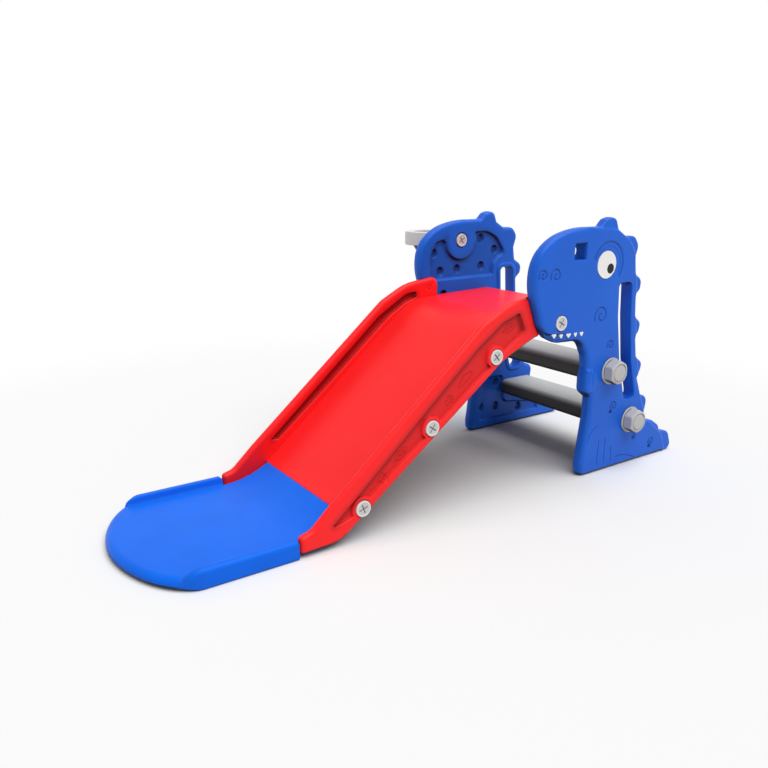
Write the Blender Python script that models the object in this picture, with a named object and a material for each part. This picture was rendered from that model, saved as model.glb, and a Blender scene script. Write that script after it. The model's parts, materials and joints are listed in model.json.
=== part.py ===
"""A toddler slide: two dinosaur side panels carry two steps, a red chute between two rails and a hoop.

Frame: X runs from the chute's nose (-X) to the ladder side (+X), Y from the child's left (-Y) to the
child's right (+Y), Z up from the floor. The outlines below are written as stations along X and heights
above the floor, in millimetres, with station 0 a little ahead of the side panels' front feet. An empty
then puts ORIGIN_STATION, in the middle of the run-out's flat underside, on the world's origin.
"""

import math

import bmesh
import bpy
from mathutils import Vector

MM = 0.001

ORIGIN_STATION = -1000 * MM

# Clearances
TOUCH_GAP = 0.3 * MM
PIN_CLEARANCE = 0.5 * MM
SOCKET_CLEARANCE = 0.5 * MM
RAIL_TO_HEAD_GAP = 1.5 * MM

# Widths across the slide
PANEL_INSIDE = 432 * MM
PANEL_THICKNESS = 34 * MM
RAIL_THICKNESS = 24 * MM
RAIL_OUTBOARD = 12 * MM

# Side panels
CREST_HEIGHT = 707 * MM
TAIL_STATION = 436 * MM
HEAD_CUT_STATION = 20 * MM
PANEL_EDGE = 8 * MM
FACE_POCKET_DEPTH = 7 * MM
SLOT_EDGE = 3 * MM
EYE_X = 73 * MM
EYE_Z = 585 * MM
EYE_DIAMETER = 72 * MM
PUPIL_DIAMETER = 26 * MM
PUPIL_FORWARD = 15 * MM
PUPIL_DROP = 11 * MM
INLAY_THICKNESS = 2 * MM
INLAY_PROUD = 0.6 * MM
TOOTH_LINE_X = (-111, -85, -58, -31, -6)
TOOTH_WIDTHS = (17, 14, 18, 13, 15)
TOOTH_TOP_Z = 419 * MM
TOOTH_HEIGHT = 15 * MM

# Steps
STEP_DEPTH = 132 * MM
STEP_THICKNESS = 48 * MM
STEP_EDGE = 12 * MM
STEP_RISE = 158 * MM
STEP_SETBACK = 102 * MM
LOWER_STEP_X = 225 * MM
STUB_DIAMETER = 45 * MM
STUB_BEYOND_WASHER = 22 * MM

# Cap nuts and their washers
NUT_ACROSS_FLATS = 58 * MM
NUT_HEIGHT = 31 * MM
NUT_CAP = 5 * MM
NUT_CORNER_CHAMFER = 4 * MM
WASHER_DIAMETER = 76 * MM
WASHER_THICKNESS = 4 * MM

# Platform, chute and run-out
PLATFORM_RISES = 3
PLATFORM_BACK_X = 77 * MM
PLATFORM_FALL = 11 * MM
PLATFORM_FRONT_X = -232 * MM
CHUTE_SLOPE = 0.85
PLATFORM_RADIUS = 170 * MM
FOOT_RADIUS = 250 * MM
BOARD_THICKNESS = 42 * MM
WING_THICKNESS = 14 * MM
RAIL_SHELF_DROP = 1 * MM
RAIL_SHELF_RADIUS = 8 * MM
SEAM_X = -707 * MM
LAP_LENGTH = 66 * MM
LAP_SKIN = 2.6 * MM
TONGUE_THICKNESS = 34 * MM
TONGUE_ROOT = 30 * MM
RUNOUT_THICKNESS = 27 * MM
RUNOUT_START_X = -834 * MM
NOSE_START_X = -1050 * MM
NOSE_LENGTH = 121 * MM
NOSE_ROUNDNESS = 1.7
NOSE_STATIONS = 11
LIP_HEIGHT = 44 * MM
LIP_WIDTH = 23 * MM
LIP_FADE = 70 * MM

# Rail pockets
RAIL_EDGE = 5 * MM
FLANK_POCKET_DEPTH = 8 * MM
INNER_RECESS_DEPTH = 6 * MM
SCREW_BOSS_DIAMETER = 54 * MM

# Capped screws and their inserts
SCREW_HEAD_DIAMETER = 39 * MM
SCREW_HEAD_THICKNESS = 5.5 * MM
SCREW_HEAD_SUNK = 3.5 * MM
CROSS_LENGTH = 25 * MM
CROSS_WIDTH = 4 * MM
CROSS_DEPTH = 2 * MM
SHANK_DIAMETER = 7 * MM
INSERT_DIAMETER = 10 * MM
INSERT_LENGTH = 26 * MM
INSERT_END_SPACE = 3 * MM
RAIL_SCREWS = ((-281, -42), (-476, -22), (-670, -12))
PANEL_SCREW_X = -84 * MM
PANEL_SCREW_DROP = 28 * MM

# Hoop and its socket
SOCKET_X = -29 * MM
SOCKET_Z = 623 * MM
SOCKET_WIDTH = 44 * MM
SOCKET_HEIGHT = 42 * MM
SOCKET_DEPTH = 15 * MM
SOCKET_HOLE_DIAMETER = 18 * MM
HOOP_BOSS_DIAMETER = 110 * MM
HOOP_BOLT_DIAMETER = 12 * MM
HOOP_INSERT_DIAMETER = 20 * MM
HOOP_OUTER_RADIUS = 89 * MM
HOOP_INNER_RADIUS = 62 * MM
HOOP_HEIGHT = 29 * MM
HOOP_STAND_OFF = 18 * MM
HOOP_ARM_WIDTH = 60 * MM
RING_SIDES = 32
COLLAR_TOP_RADIUS = 64 * MM
COLLAR_BOTTOM_RADIUS = 54 * MM
COLLAR_HEIGHT = 24 * MM
COLLAR_WALL = 4 * MM

# Places worked out from the sizes above
PANEL_IN = PANEL_INSIDE / 2
PANEL_OUT = PANEL_IN + PANEL_THICKNESS
RAIL_OUT = PANEL_IN + RAIL_OUTBOARD
RAIL_IN = RAIL_OUT - RAIL_THICKNESS
BOARD_HALF = RAIL_IN - TOUCH_GAP
WING_HALF = PANEL_IN - TOUCH_GAP
PLATFORM_Z = PLATFORM_RISES * STEP_RISE
PANEL_SCREW_Z = PLATFORM_Z - PANEL_SCREW_DROP
SEAT_OF_RISE = STEP_RISE - STEP_THICKNESS / 2
STEP_AXES = (
    ("lower", LOWER_STEP_X, SEAT_OF_RISE),
    ("upper", LOWER_STEP_X - STEP_SETBACK, SEAT_OF_RISE + STEP_RISE),
)
WASHER_IN = PANEL_OUT + TOUCH_GAP
NUT_IN = WASHER_IN + WASHER_THICKNESS + TOUCH_GAP
HOOP_CENTRE_Y = PANEL_OUT + HOOP_STAND_OFF + HOOP_OUTER_RADIUS

# Corners as (station, height, corner radius) in millimetres, clockwise seen from the child's left
PANEL_CORNERS = (
    (31, 0, 24), (28, 34, 20), (48, 180, 60), (48, 226, 6), (20, 246, 22), (20, 286, 22), (27, 318, 30),
    (22, 350, 40), (4, 390, 18), (-92, 394, 50), (-131, 412, 14), (-152, 440, 40), (-191, 540, 160),
    (-182, 614, 60), (-128, 662, 90), (-50, 683, 160), (10, 684, 120), (52, 684, 8),
    (74, CREST_HEIGHT / MM, 20), (101, CREST_HEIGHT / MM - 1, 16),
    (112, 674, 6), (140, 657, 8), (184, 657, 16), (202, 630, 22), (190, 590, 10), (199, 554, 10),
    (230, 535, 20), (226, 508, 14), (208, 492, 10), (213, 436, 10), (243, 414, 20), (236, 388, 14),
    (222, 373, 10), (232, 319, 10), (266, 296, 20), (258, 270, 14), (245, 257, 10), (267, 202, 10),
    (304, 188, 22), (298, 150, 16), (282, 130, 10), (305, 118, 8), (332, 114, 24), (368, 92, 20), (377, 69, 8),
    (TAIL_STATION / MM - 20, 56, 26),
    (TAIL_STATION / MM, 0, 22),
)
HEAD_FRONT_CORNERS = (
    (HEAD_CUT_STATION / MM, PANEL_CORNERS[9][1], 0), *PANEL_CORNERS[9:16],
    (HEAD_CUT_STATION / MM, PANEL_CORNERS[15][1], 0),
)
SLOT_CORNERS = (
    (140, 536, 20), (183, 536, 20), (190, 440, 60), (208, 312, 90), (240, 196, 14), (196, 198, 14),
    (166, 312, 90), (145, 440, 60),
)
FACE_POCKET_CORNERS = (
    (-150, 502, 12), (-149, 590, 50), (-95, 652, 30), (75, 652, 45), (140, 596, 30), (154, 566, 10),
    (122, 550, 20), (112, 502, 12),
)
FOOT_POCKET_CORNERS = ((68, 26, 12), (80, 176, 16), (168, 176, 16), (176, 84, 20), (330, 62, 14), (340, 26, 10))

# Rail outlines as (station, height above the sliding surface there, corner radius) in millimetres
RAIL_TOP_CORNERS = (
    (-830, -19, 9), (-830, 21, 10), (-800, 26, 40), (-743, 63, 150), (-322, 79, 110), (-240, 59, 160),
    (-124, 57, 22),
)
RAIL_BOTTOM_CORNERS = ((-12, -37, 8), (-150, -54, 140), (-253, -76, 220), (-728, -40, 90))
FLANK_POCKET_CORNERS = (
    (-764, 8, 5), (-337, 35, 70), (-222, 26, 12), (-190, -30, 10), (-204, -41, 10), (-239, -47, 60),
    (-700, -11, 60),
)
INNER_RECESS_CORNERS = (
    (-694, 46, 4), (-340, 53, 80), (-236, 36, 60), (-204, 27, 8), (-204, 7, 8), (-244, 15, 60),
    (-326, 23, 80), (-668, 24, 5),
)


def clear_scene():
    for obj in list(bpy.data.objects):
        bpy.data.objects.remove(obj, do_unlink=True)


def make_material(name, colour, roughness, metallic=0.0):
    material = bpy.data.materials.new(name)
    material.use_nodes = True
    shader = material.node_tree.nodes["Principled BSDF"]
    shader.inputs["Base Color"].default_value = (*colour, 1.0)
    shader.inputs["Roughness"].default_value = roughness
    shader.inputs["Metallic"].default_value = metallic
    return material


def make_materials():
    return {
        "blue": make_material("blue_panel", (0.026, 0.133, 0.638), 0.38),
        "runout": make_material("blue_runout", (0.03, 0.19, 0.9), 0.38),
        "red": make_material("red_chute", (0.95, 0.03, 0.035), 0.38),
        "step": make_material("grey_step", (0.16, 0.16, 0.16), 0.5),
        "pale": make_material("pale_grey", (0.45, 0.44, 0.45), 0.45),
        "dark": make_material("dark_grey", (0.03, 0.03, 0.03), 0.5),
        "white": make_material("white_inlay", (0.88, 0.85, 0.86), 0.35),
        "black": make_material("black_inlay", (0.008, 0.008, 0.01), 0.3),
        "steel": make_material("zinc_steel", (0.55, 0.55, 0.57), 0.35, 1.0),
    }


# Outlines

def rounded(corners, steps=3):
    """The outline through (station, height, radius) corners in millimetres, with each corner as an arc."""
    points = []
    count = len(corners)
    for index, (x, z, radius) in enumerate(corners):
        here = Vector((x, z)) * MM
        before = Vector(corners[index - 1][:2]) * MM - here
        after = Vector(corners[(index + 1) % count][:2]) * MM - here
        if radius == 0:
            points.append(here)
            continue
        points += corner_arc(here, before, after, radius * MM, steps)
    return points


def corner_arc(here, before, after, radius, steps):
    """Points of the arc that rounds the corner between the two directions, kept within half of each side."""
    half = before.angle(after) / 2
    reach = min(radius / math.tan(half), 0.49 * before.length, 0.49 * after.length)
    radius = reach * math.tan(half)
    start = here + before.normalized() * reach
    end = here + after.normalized() * reach
    middle = (before.normalized() + after.normalized()).normalized()
    centre = here + middle * (radius / math.sin(half))
    first, last = start - centre, end - centre
    sweep = first.angle_signed(last)
    return [centre + turned(first, sweep * step / steps) for step in range(steps + 1)]


def turned(vector, angle):
    """The 2-D vector turned clockwise, the sense of angle_signed."""
    cos, sin = math.cos(angle), math.sin(angle)
    return Vector((vector.x * cos + vector.y * sin, vector.y * cos - vector.x * sin))


def shrunk(points, distance):
    """The closed outline moved inward by the distance, along the bisector at each point."""
    sense = 1 if signed_area(points) > 0 else -1
    moved = []
    for index, here in enumerate(points):
        a = (here - points[index - 1]).normalized()
        b = (points[(index + 1) % len(points)] - here).normalized()
        normal = Vector((-(a.y + b.y), a.x + b.x)).normalized()
        stretch = max(0.5, normal.dot(Vector((-a.y, a.x))))
        moved.append(here + normal * (sense * distance / stretch))
    return moved


def signed_area(points):
    return sum(points[i - 1].x * p.y - p.x * points[i - 1].y for i, p in enumerate(points)) / 2


def circle(x, z, radius, count=24):
    return [
        Vector((x + radius * math.cos(2 * math.pi * i / count), z + radius * math.sin(2 * math.pi * i / count)))
        for i in range(count)
    ]


def box_outline(x, z, width, height):
    return [
        Vector((x + sx * width / 2, z + sz * height / 2))
        for sx, sz in ((-1, -1), (1, -1), (1, 1), (-1, 1))
    ]


# Solids

def new_object(name, bm, material, parent, smooth=True):
    bmesh.ops.recalc_face_normals(bm, faces=bm.faces)
    mesh = bpy.data.meshes.new(name)
    bm.to_mesh(mesh)
    bm.free()
    if smooth:
        mesh.shade_smooth()
        mesh.set_sharp_from_angle(angle=math.radians(40))
    obj = bpy.data.objects.new(name, mesh)
    bpy.context.scene.collection.objects.link(obj)
    obj.parent = parent
    if material:
        mesh.materials.append(material)
    return obj


def loft(rings):
    """A closed mesh through rings of as many points each, capped at both ends."""
    bm = bmesh.new()
    loops = [[bm.verts.new(point) for point in ring] for ring in rings]
    count = len(loops[0])
    for lower, upper in zip(loops, loops[1:]):
        for i in range(count):
            bm.faces.new((lower[i], lower[(i + 1) % count], upper[(i + 1) % count], upper[i]))
    bm.faces.new(reversed(loops[0]))
    bm.faces.new(loops[-1])
    return bm


def slab(outline, y_start, y_end, edge=0.0):
    """The outline as a plate from y_start to y_end, its two rims bevelled by the edge width."""
    sense = 1 if y_end > y_start else -1
    levels = [(0.0, y_start), (0.0, y_end)]
    if edge:
        levels = [(edge, y_start), (0.0, y_start + edge * sense), (0.0, y_end - edge * sense), (edge, y_end)]
    rings = []
    for inset, y in levels:
        ring = shrunk(outline, inset) if inset else outline
        rings.append([(point.x, y, point.y) for point in ring])
    return loft(rings)


def turned_solid(profile, x, z, sides=24):
    """A solid turned about the line along Y through (x, z), from (radius, y) points between its two ends."""
    rings = []
    for radius, y in profile:
        rings.append([(point.x, y, point.y) for point in circle(x, z, radius, sides)])
    return loft(rings)


def cutter(name, bm, parent):
    obj = new_object(name, bm, None, parent, smooth=False)
    obj.hide_render = True
    obj.display_type = "WIRE"
    return obj


def boolean(target, other, operation):
    modifier = target.modifiers.new(f"{operation.lower()} {other.name}", "BOOLEAN")
    modifier.operation = operation
    modifier.object = other
    modifier.solver = "EXACT"


def cut(target, name, bm, parent):
    tool = cutter(name, bm, parent)
    boolean(target, tool, "DIFFERENCE")
    return tool


def join(target, name, bm, parent):
    tool = cutter(name, bm, parent)
    boolean(target, tool, "UNION")
    return tool


# The chute's line

def slope_z(x):
    """Height of the straight slope's surface at a station, before its two bends."""
    return PLATFORM_Z - PLATFORM_FALL + CHUTE_SLOPE * (x - PLATFORM_FRONT_X)


def foot_corner_x():
    return PLATFORM_FRONT_X - (PLATFORM_Z - PLATFORM_FALL - RUNOUT_THICKNESS) / CHUTE_SLOPE


def surface_line(steps=10):
    """The sliding surface from the platform's back edge to the run-out's flat, as (x, z) points."""
    back = Vector((PLATFORM_BACK_X, PLATFORM_Z))
    brow = Vector((PLATFORM_FRONT_X, PLATFORM_Z - PLATFORM_FALL))
    foot = Vector((foot_corner_x(), RUNOUT_THICKNESS))
    end = Vector((NOSE_START_X, RUNOUT_THICKNESS))
    line = [back]
    line += corner_arc(brow, back - brow, foot - brow, PLATFORM_RADIUS, steps)
    line += corner_arc(foot, brow - foot, end - foot, FOOT_RADIUS, steps)
    line.append(end)
    return line


def clipped(line, x_from, x_to):
    """The part of the line, which runs towards -X, between two stations."""
    kept = [point_at(line, x_from)]
    kept += [point for point in line if x_to < point.x < x_from]
    kept.append(point_at(line, x_to))
    return kept


def point_at(line, x):
    """The line's point at a station, or its nearer end for a station beyond it."""
    if x >= line[0].x:
        return line[0].copy()
    for first, second in zip(line, line[1:]):
        if x >= second.x:
            return first.lerp(second, (first.x - x) / (first.x - second.x))
    return line[-1].copy()


def above_chute(x, height):
    """Height above the floor of a point given in millimetres above the sliding surface."""
    return point_at(surface_line(), x * MM).y / MM + height


def outline_above_chute(corners, steps=3):
    return rounded([(x, above_chute(x, height), radius) for x, height, radius in corners], steps)


def rail_outline():
    """The rail's side view: behind the panel's head its top drops to a shelf below the platform."""
    shelf = -(WING_THICKNESS + RAIL_SHELF_DROP) / MM
    back_x, back_z = RAIL_BOTTOM_CORNERS[0][:2]
    corners = list(RAIL_TOP_CORNERS)
    corners += [(RAIL_TOP_CORNERS[-1][0], shelf, 0), (back_x, shelf, RAIL_SHELF_RADIUS / MM)]
    corners += RAIL_BOTTOM_CORNERS
    return outline_above_chute(corners)


def rail_screw_places():
    return [(x * MM, above_chute(x, height) * MM) for x, height in RAIL_SCREWS]


def lowered(line, depth):
    """The line moved down, square to itself."""
    moved = []
    for index, here in enumerate(line):
        before = line[max(index - 1, 0)]
        after = line[min(index + 1, len(line) - 1)]
        along = (after - before).normalized()
        moved.append(here + Vector((-along.y, along.x)) * depth)
    return moved


# Side panels

def make_panel(side, name, materials, parent):
    """One side panel: side is -1 for the child's left and 1 for the right."""
    outline = rounded(PANEL_CORNERS, 2)
    y_in, y_out = side * PANEL_IN, side * PANEL_OUT
    panel = new_object(name, slab(outline, y_in, y_out, PANEL_EDGE), materials["blue"], parent)
    beyond = side * (PANEL_OUT + PANEL_THICKNESS)
    before = side * (PANEL_IN - PANEL_THICKNESS)
    cut(panel, f"{name}_slot", slab(rounded(SLOT_CORNERS), before, beyond), parent)
    for label, x, z in STEP_AXES:
        bore = circle(x, z, STUB_DIAMETER / 2 + PIN_CLEARANCE)
        cut(panel, f"{name}_{label}_bore", slab(bore, before, beyond), parent)
    socket = box_outline(SOCKET_X, SOCKET_Z, SOCKET_WIDTH, SOCKET_HEIGHT)
    cut(panel, f"{name}_socket", slab(socket, y_out - side * SOCKET_DEPTH, beyond), parent)
    hole = circle(SOCKET_X, SOCKET_Z, SOCKET_HOLE_DIAMETER / 2, 16)
    cut(panel, f"{name}_socket_hole", slab(hole, before, beyond), parent)
    cut_face_pocket(panel, side, name, parent)
    foot = slab(rounded(FOOT_POCKET_CORNERS, 2), before, y_in + side * FACE_POCKET_DEPTH)
    cut(panel, f"{name}_foot_pocket", foot, parent)
    eye = circle(EYE_X, EYE_Z, EYE_DIAMETER / 2 + TOUCH_GAP, 32)
    inlay_floor = y_out - side * (INLAY_THICKNESS - INLAY_PROUD + TOUCH_GAP)
    cut(panel, f"{name}_eye_seat", slab(eye, inlay_floor, beyond), parent)
    cut(panel, f"{name}_screw_seat", screw_seat(PANEL_SCREW_X, PANEL_SCREW_Z, y_out, side), parent)
    shank = circle(PANEL_SCREW_X, PANEL_SCREW_Z, SHANK_DIAMETER / 2 + PIN_CLEARANCE, 12)
    cut(panel, f"{name}_screw_hole", slab(shank, before, beyond), parent)
    if side > 0:
        cut(panel, f"{name}_bolt_seat", screw_seat(SOCKET_X, SOCKET_Z, y_in, -side), parent)
    return panel


def cut_face_pocket(panel, side, name, parent):
    """The shallow pocket inside the head, which leaves a round boss behind the hoop's bolt."""
    start = side * (PANEL_IN - PANEL_THICKNESS)
    floor = side * (PANEL_IN + FACE_POCKET_DEPTH)
    pocket = cut(panel, f"{name}_pocket", slab(rounded(FACE_POCKET_CORNERS), start, floor), parent)
    boss = circle(SOCKET_X, SOCKET_Z, HOOP_BOSS_DIAMETER / 2)
    cut(pocket, f"{name}_pocket_boss", slab(boss, start - side * MM, floor + side * MM), parent)


def screw_seat(x, z, face_y, outward):
    """The round counterbore that takes a screw's head below the face."""
    radius = SCREW_HEAD_DIAMETER / 2 + PIN_CLEARANCE
    floor = face_y - outward * (SCREW_HEAD_SUNK + TOUCH_GAP)
    return slab(circle(x, z, radius), floor, face_y + outward * PANEL_THICKNESS)


def make_eye(side, prefix, materials, parent):
    """The white disc with the black pupil let into it."""
    top = side * (PANEL_OUT + INLAY_PROUD)
    floor = top - side * INLAY_THICKNESS
    white = new_object(
        f"{prefix}_eye_white", slab(circle(EYE_X, EYE_Z, EYE_DIAMETER / 2, 32), floor, top),
        materials["white"], parent,
    )
    pupil_x, pupil_z = EYE_X + PUPIL_FORWARD, EYE_Z - PUPIL_DROP
    seat = circle(pupil_x, pupil_z, PUPIL_DIAMETER / 2 + TOUCH_GAP)
    middle = (floor + top) / 2
    cut(white, f"{prefix}_pupil_seat", slab(seat, middle, top + side * MM), parent)
    pupil = circle(pupil_x, pupil_z, PUPIL_DIAMETER / 2)
    new_object(
        f"{prefix}_eye_pupil", slab(pupil, middle + side * TOUCH_GAP, top),
        materials["black"], parent,
    )


def make_teeth(side, panel, prefix, materials, parent):
    """White wedges let into the panel under the mouth's line."""
    top = side * (PANEL_OUT + INLAY_PROUD)
    floor = top - side * INLAY_THICKNESS
    for number, (station, width) in enumerate(zip(TOOTH_LINE_X, TOOTH_WIDTHS), 1):
        shape = tooth_outline(station * MM, width * MM)
        new_object(f"{prefix}_tooth_{number}", slab(shape, floor, top), materials["white"], parent, smooth=False)
        seat = slab(shrunk(shape, -TOUCH_GAP), floor - side * TOUCH_GAP, top + side * MM)
        cut(panel, f"{prefix}_tooth_seat_{number}", seat, parent)


def tooth_outline(x, width):
    corners = (
        (x - width / 2, TOOTH_TOP_Z), (x + width / 2, TOOTH_TOP_Z),
        (x + width / 8, TOOTH_TOP_Z - TOOTH_HEIGHT), (x - width / 8, TOOTH_TOP_Z - TOOTH_HEIGHT),
    )
    return [Vector(corner) for corner in corners]


# Steps, washers and nuts

def make_step(label, x, z, materials, parent):
    """A boxed tread whose round stubs pass through both panels."""
    width, height = STEP_DEPTH / 2 / MM, STEP_THICKNESS / 2 / MM
    corners = [
        (x / MM + sx * width, z / MM + sz * height, STEP_EDGE / MM)
        for sx, sz in ((-1, -1), (1, -1), (1, 1), (-1, 1))
    ]
    body = slab(rounded(corners), -WING_HALF, WING_HALF)
    step = new_object(f"{label}_step", body, materials["step"], parent)
    reach = WASHER_IN + WASHER_THICKNESS + STUB_BEYOND_WASHER
    join(step, f"{label}_step_stubs", slab(circle(x, z, STUB_DIAMETER / 2), -reach, reach), parent)
    return step


def joint_empty(name, x, y, z, parent):
    empty = bpy.data.objects.new(name, None)
    bpy.context.scene.collection.objects.link(empty)
    empty.parent = parent
    empty.location = (x, y, z)
    return empty


def make_washer_and_nut(side, prefix, label, x, z, materials, parent):
    """A washer that slides along the stub, and the hexagonal cap nut that turns on it."""
    axis = joint_empty(f"{prefix}_{label}_nut_axis", x, side * NUT_IN, z, parent)
    bore = STUB_DIAMETER / 2 + PIN_CLEARANCE
    start, end = side * (WASHER_IN - NUT_IN), side * (WASHER_IN + WASHER_THICKNESS - NUT_IN)
    ring = slab(circle(0, 0, WASHER_DIAMETER / 2, 32), start, end)
    washer = new_object(f"{prefix}_{label}_washer", ring, materials["pale"], axis)
    cut(washer, f"{washer.name}_bore", slab(circle(0, 0, bore), start - side * MM, end + side * MM), axis)
    top = side * NUT_HEIGHT
    shape = hexagon(NUT_ACROSS_FLATS)
    nut = new_object(
        f"{prefix}_{label}_nut", slab(shape, 0.0, top, NUT_CORNER_CHAMFER / 2), materials["pale"], axis
    )
    hollow = slab(circle(0, 0, bore), -side * MM, top - side * NUT_CAP)
    cut(nut, f"{nut.name}_bore", hollow, axis)


def hexagon(across_flats):
    """A hexagon with corners up and down, each corner blunted."""
    radius = across_flats / math.sqrt(3) / MM
    corners = [
        (radius * math.sin(math.pi * i / 3), radius * math.cos(math.pi * i / 3), NUT_CORNER_CHAMFER / MM)
        for i in range(6)
    ]
    return rounded(corners, 2)


# Rails

def make_rail(side, name, materials, parent):
    """A side rail: a blow-moulded board that steps in behind the panel's head."""
    rail = new_object(
        name, slab(rail_outline(), side * RAIL_IN, side * RAIL_OUT, RAIL_EDGE),
        materials["red"], parent,
    )
    head = shrunk(rounded(HEAD_FRONT_CORNERS), -RAIL_TO_HEAD_GAP)
    beyond = side * (PANEL_OUT + PANEL_THICKNESS)
    cut(rail, f"{name}_head_step", slab(head, side * (PANEL_IN - TOUCH_GAP), beyond), parent)
    flank = slab(outline_above_chute(FLANK_POCKET_CORNERS), side * (RAIL_OUT - FLANK_POCKET_DEPTH), beyond)
    pocket = cut(rail, f"{name}_pocket", flank, parent)
    inside = slab(outline_above_chute(INNER_RECESS_CORNERS), 0.0, side * (RAIL_IN + INNER_RECESS_DEPTH))
    cut(rail, f"{name}_recess", inside, parent)
    for number, (x, z) in enumerate(rail_screw_places(), 1):
        boss = circle(x, z, SCREW_BOSS_DIAMETER / 2)
        cut(pocket, f"{name}_boss_{number}", slab(boss, 0.0, beyond + side * MM), parent)
        cut(rail, f"{name}_seat_{number}", screw_seat(x, z, side * RAIL_OUT, side), parent)
        hole = circle(x, z, SHANK_DIAMETER / 2 + PIN_CLEARANCE, 12)
        cut(rail, f"{name}_hole_{number}", slab(hole, 0.0, beyond), parent)
    hole = circle(PANEL_SCREW_X, PANEL_SCREW_Z, SHANK_DIAMETER / 2 + PIN_CLEARANCE, 12)
    cut(rail, f"{name}_panel_hole", slab(hole, 0.0, beyond), parent)
    return rail


# Boards

def extruded(points, half_width):
    return slab(points, -half_width, half_width)


def make_chute_board(materials, parent):
    """The red board: platform and slope, thinned at its foot where it laps over the run-out's tongue."""
    line = surface_line()
    lap_start = SEAM_X + LAP_LENGTH
    thick = clipped(line, PLATFORM_BACK_X, lap_start)
    lap = clipped(line, lap_start, SEAM_X)
    under = lowered(thick, BOARD_THICKNESS)
    outline = thick + lap[1:] + lowered(lap, LAP_SKIN)[::-1] + under[::-1]
    board = new_object("chute_board", extruded(outline, BOARD_HALF), materials["red"], parent)
    rail_end = RAIL_TOP_CORNERS[-1][0] * MM
    flat = clipped(line, PLATFORM_BACK_X, rail_end + RAIL_TO_HEAD_GAP)
    wing = flat + lowered(flat, WING_THICKNESS)[::-1]
    join(board, "chute_board_wings", extruded(wing, WING_HALF), parent)
    for side, prefix in ((-1, "left"), (1, "right")):
        places = rail_screw_places()[:2] + [(PANEL_SCREW_X, PANEL_SCREW_Z)]
        for number, (x, z) in enumerate(places, 1):
            cut(board, f"chute_board_{prefix}_socket_{number}", insert_socket(x, z, side), parent)
    return board


def insert_socket(x, z, side):
    depth = BOARD_HALF - INSERT_LENGTH - INSERT_END_SPACE
    radius = INSERT_DIAMETER / 2 + TOUCH_GAP
    return slab(circle(x, z, radius, 12), side * depth, side * PANEL_OUT)


def lip_height(x):
    """Height of the run-out's side lips, which sink into the surface along the nose."""
    share = min(max((NOSE_START_X - x) / LIP_FADE, 0.0), 1.0)
    ease = share * share * (3 - 2 * share)
    return LIP_HEIGHT + (RUNOUT_THICKNESS + 0.5 * MM - LIP_HEIGHT) * ease


def runout_section(x, half_width):
    """One cross-section of the run-out: flat base, lips at both sides, sliding surface between."""
    lip = min(LIP_WIDTH, 0.4 * half_width)
    top, chamfer = lip_height(x), min(4 * MM, 0.3 * lip)
    right = [
        (half_width - chamfer, 0.0), (half_width, chamfer), (half_width, top - chamfer),
        (half_width - chamfer, top), (half_width - lip + chamfer, top), (half_width - lip, RUNOUT_THICKNESS),
    ]
    left = [(-y, z) for y, z in reversed(right)]
    return [(x, y, z) for y, z in right + left]


def make_runout_board(materials, parent):
    """The blue run-out with its round nose, and the tongue that reaches up under the chute."""
    sections = [runout_section(RUNOUT_START_X, RAIL_OUT - TOUCH_GAP)]
    for index in range(NOSE_STATIONS):
        angle = 0.5 * math.pi * index / (NOSE_STATIONS - 0.4)
        x = NOSE_START_X - NOSE_LENGTH * math.sin(angle) ** (2 / NOSE_ROUNDNESS)
        sections.append(runout_section(x, (RAIL_OUT - TOUCH_GAP) * math.cos(angle) ** (2 / NOSE_ROUNDNESS)))
    board = new_object("runout_board", loft(sections), materials["runout"], parent)
    join(board, "runout_tongue", extruded(tongue_outline(), BOARD_HALF), parent)
    for side, prefix in ((-1, "left"), (1, "right")):
        x, z = rail_screw_places()[2]
        cut(board, f"runout_{prefix}_socket", insert_socket(x, z, side), parent)
    return board


def tongue_outline():
    """Side view of the tongue, from inside the run-out's slab to its end under the chute."""
    line = surface_line()
    root_x = RUNOUT_START_X - TONGUE_ROOT
    open_part = clipped(line, SEAM_X - TOUCH_GAP, root_x)
    covered = clipped(line, SEAM_X + LAP_LENGTH - TOUCH_GAP, SEAM_X - TOUCH_GAP)
    top = lowered(covered, LAP_SKIN + TOUCH_GAP) + open_part
    end = top[0] + (lowered(covered, TONGUE_THICKNESS)[0] - covered[0])
    turn_x = end.x - end.y / CHUTE_SLOPE
    return top + [Vector((root_x, 0.0)), Vector((turn_x, 0.0)), end]


# Screws and inserts

def make_screw(name, x, z, face_y, outward, length, shank, materials, parent):
    """A capped screw: a wide cross-slotted head let into its seat, and a plain shank."""
    head_in = face_y - outward * SCREW_HEAD_SUNK
    head_out = head_in + outward * SCREW_HEAD_THICKNESS
    radius = SCREW_HEAD_DIAMETER / 2
    soft = 1.2 * MM
    profile = [
        (shank / 2, head_in - outward * length), (shank / 2, head_in), (radius, head_in),
        (radius, head_out - outward * soft), (radius - soft, head_out),
    ]
    screw = new_object(name, turned_solid(profile, x, z), materials["pale"], parent)
    for label, size in (("slot", (CROSS_LENGTH, CROSS_WIDTH)), ("cross", (CROSS_WIDTH, CROSS_LENGTH))):
        groove = box_outline(x, z, *size)
        tool = slab(groove, head_out - outward * CROSS_DEPTH, head_out + outward * CROSS_DEPTH)
        cut(screw, f"{name}_{label}", tool, parent)
    return screw


def make_insert(name, x, z, side, materials, parent):
    """The threaded sleeve that a rail screw draws into the board's edge."""
    outer = BOARD_HALF - TOUCH_GAP
    inner = outer - INSERT_LENGTH
    sleeve = new_object(
        name, slab(circle(x, z, INSERT_DIAMETER / 2, 12), side * inner, side * outer), materials["steel"], parent
    )
    bore = circle(x, z, SHANK_DIAMETER / 2 + TOUCH_GAP, 12)
    cut(sleeve, f"{name}_bore", slab(bore, side * (inner - MM), side * (outer + MM)), parent)


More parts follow.
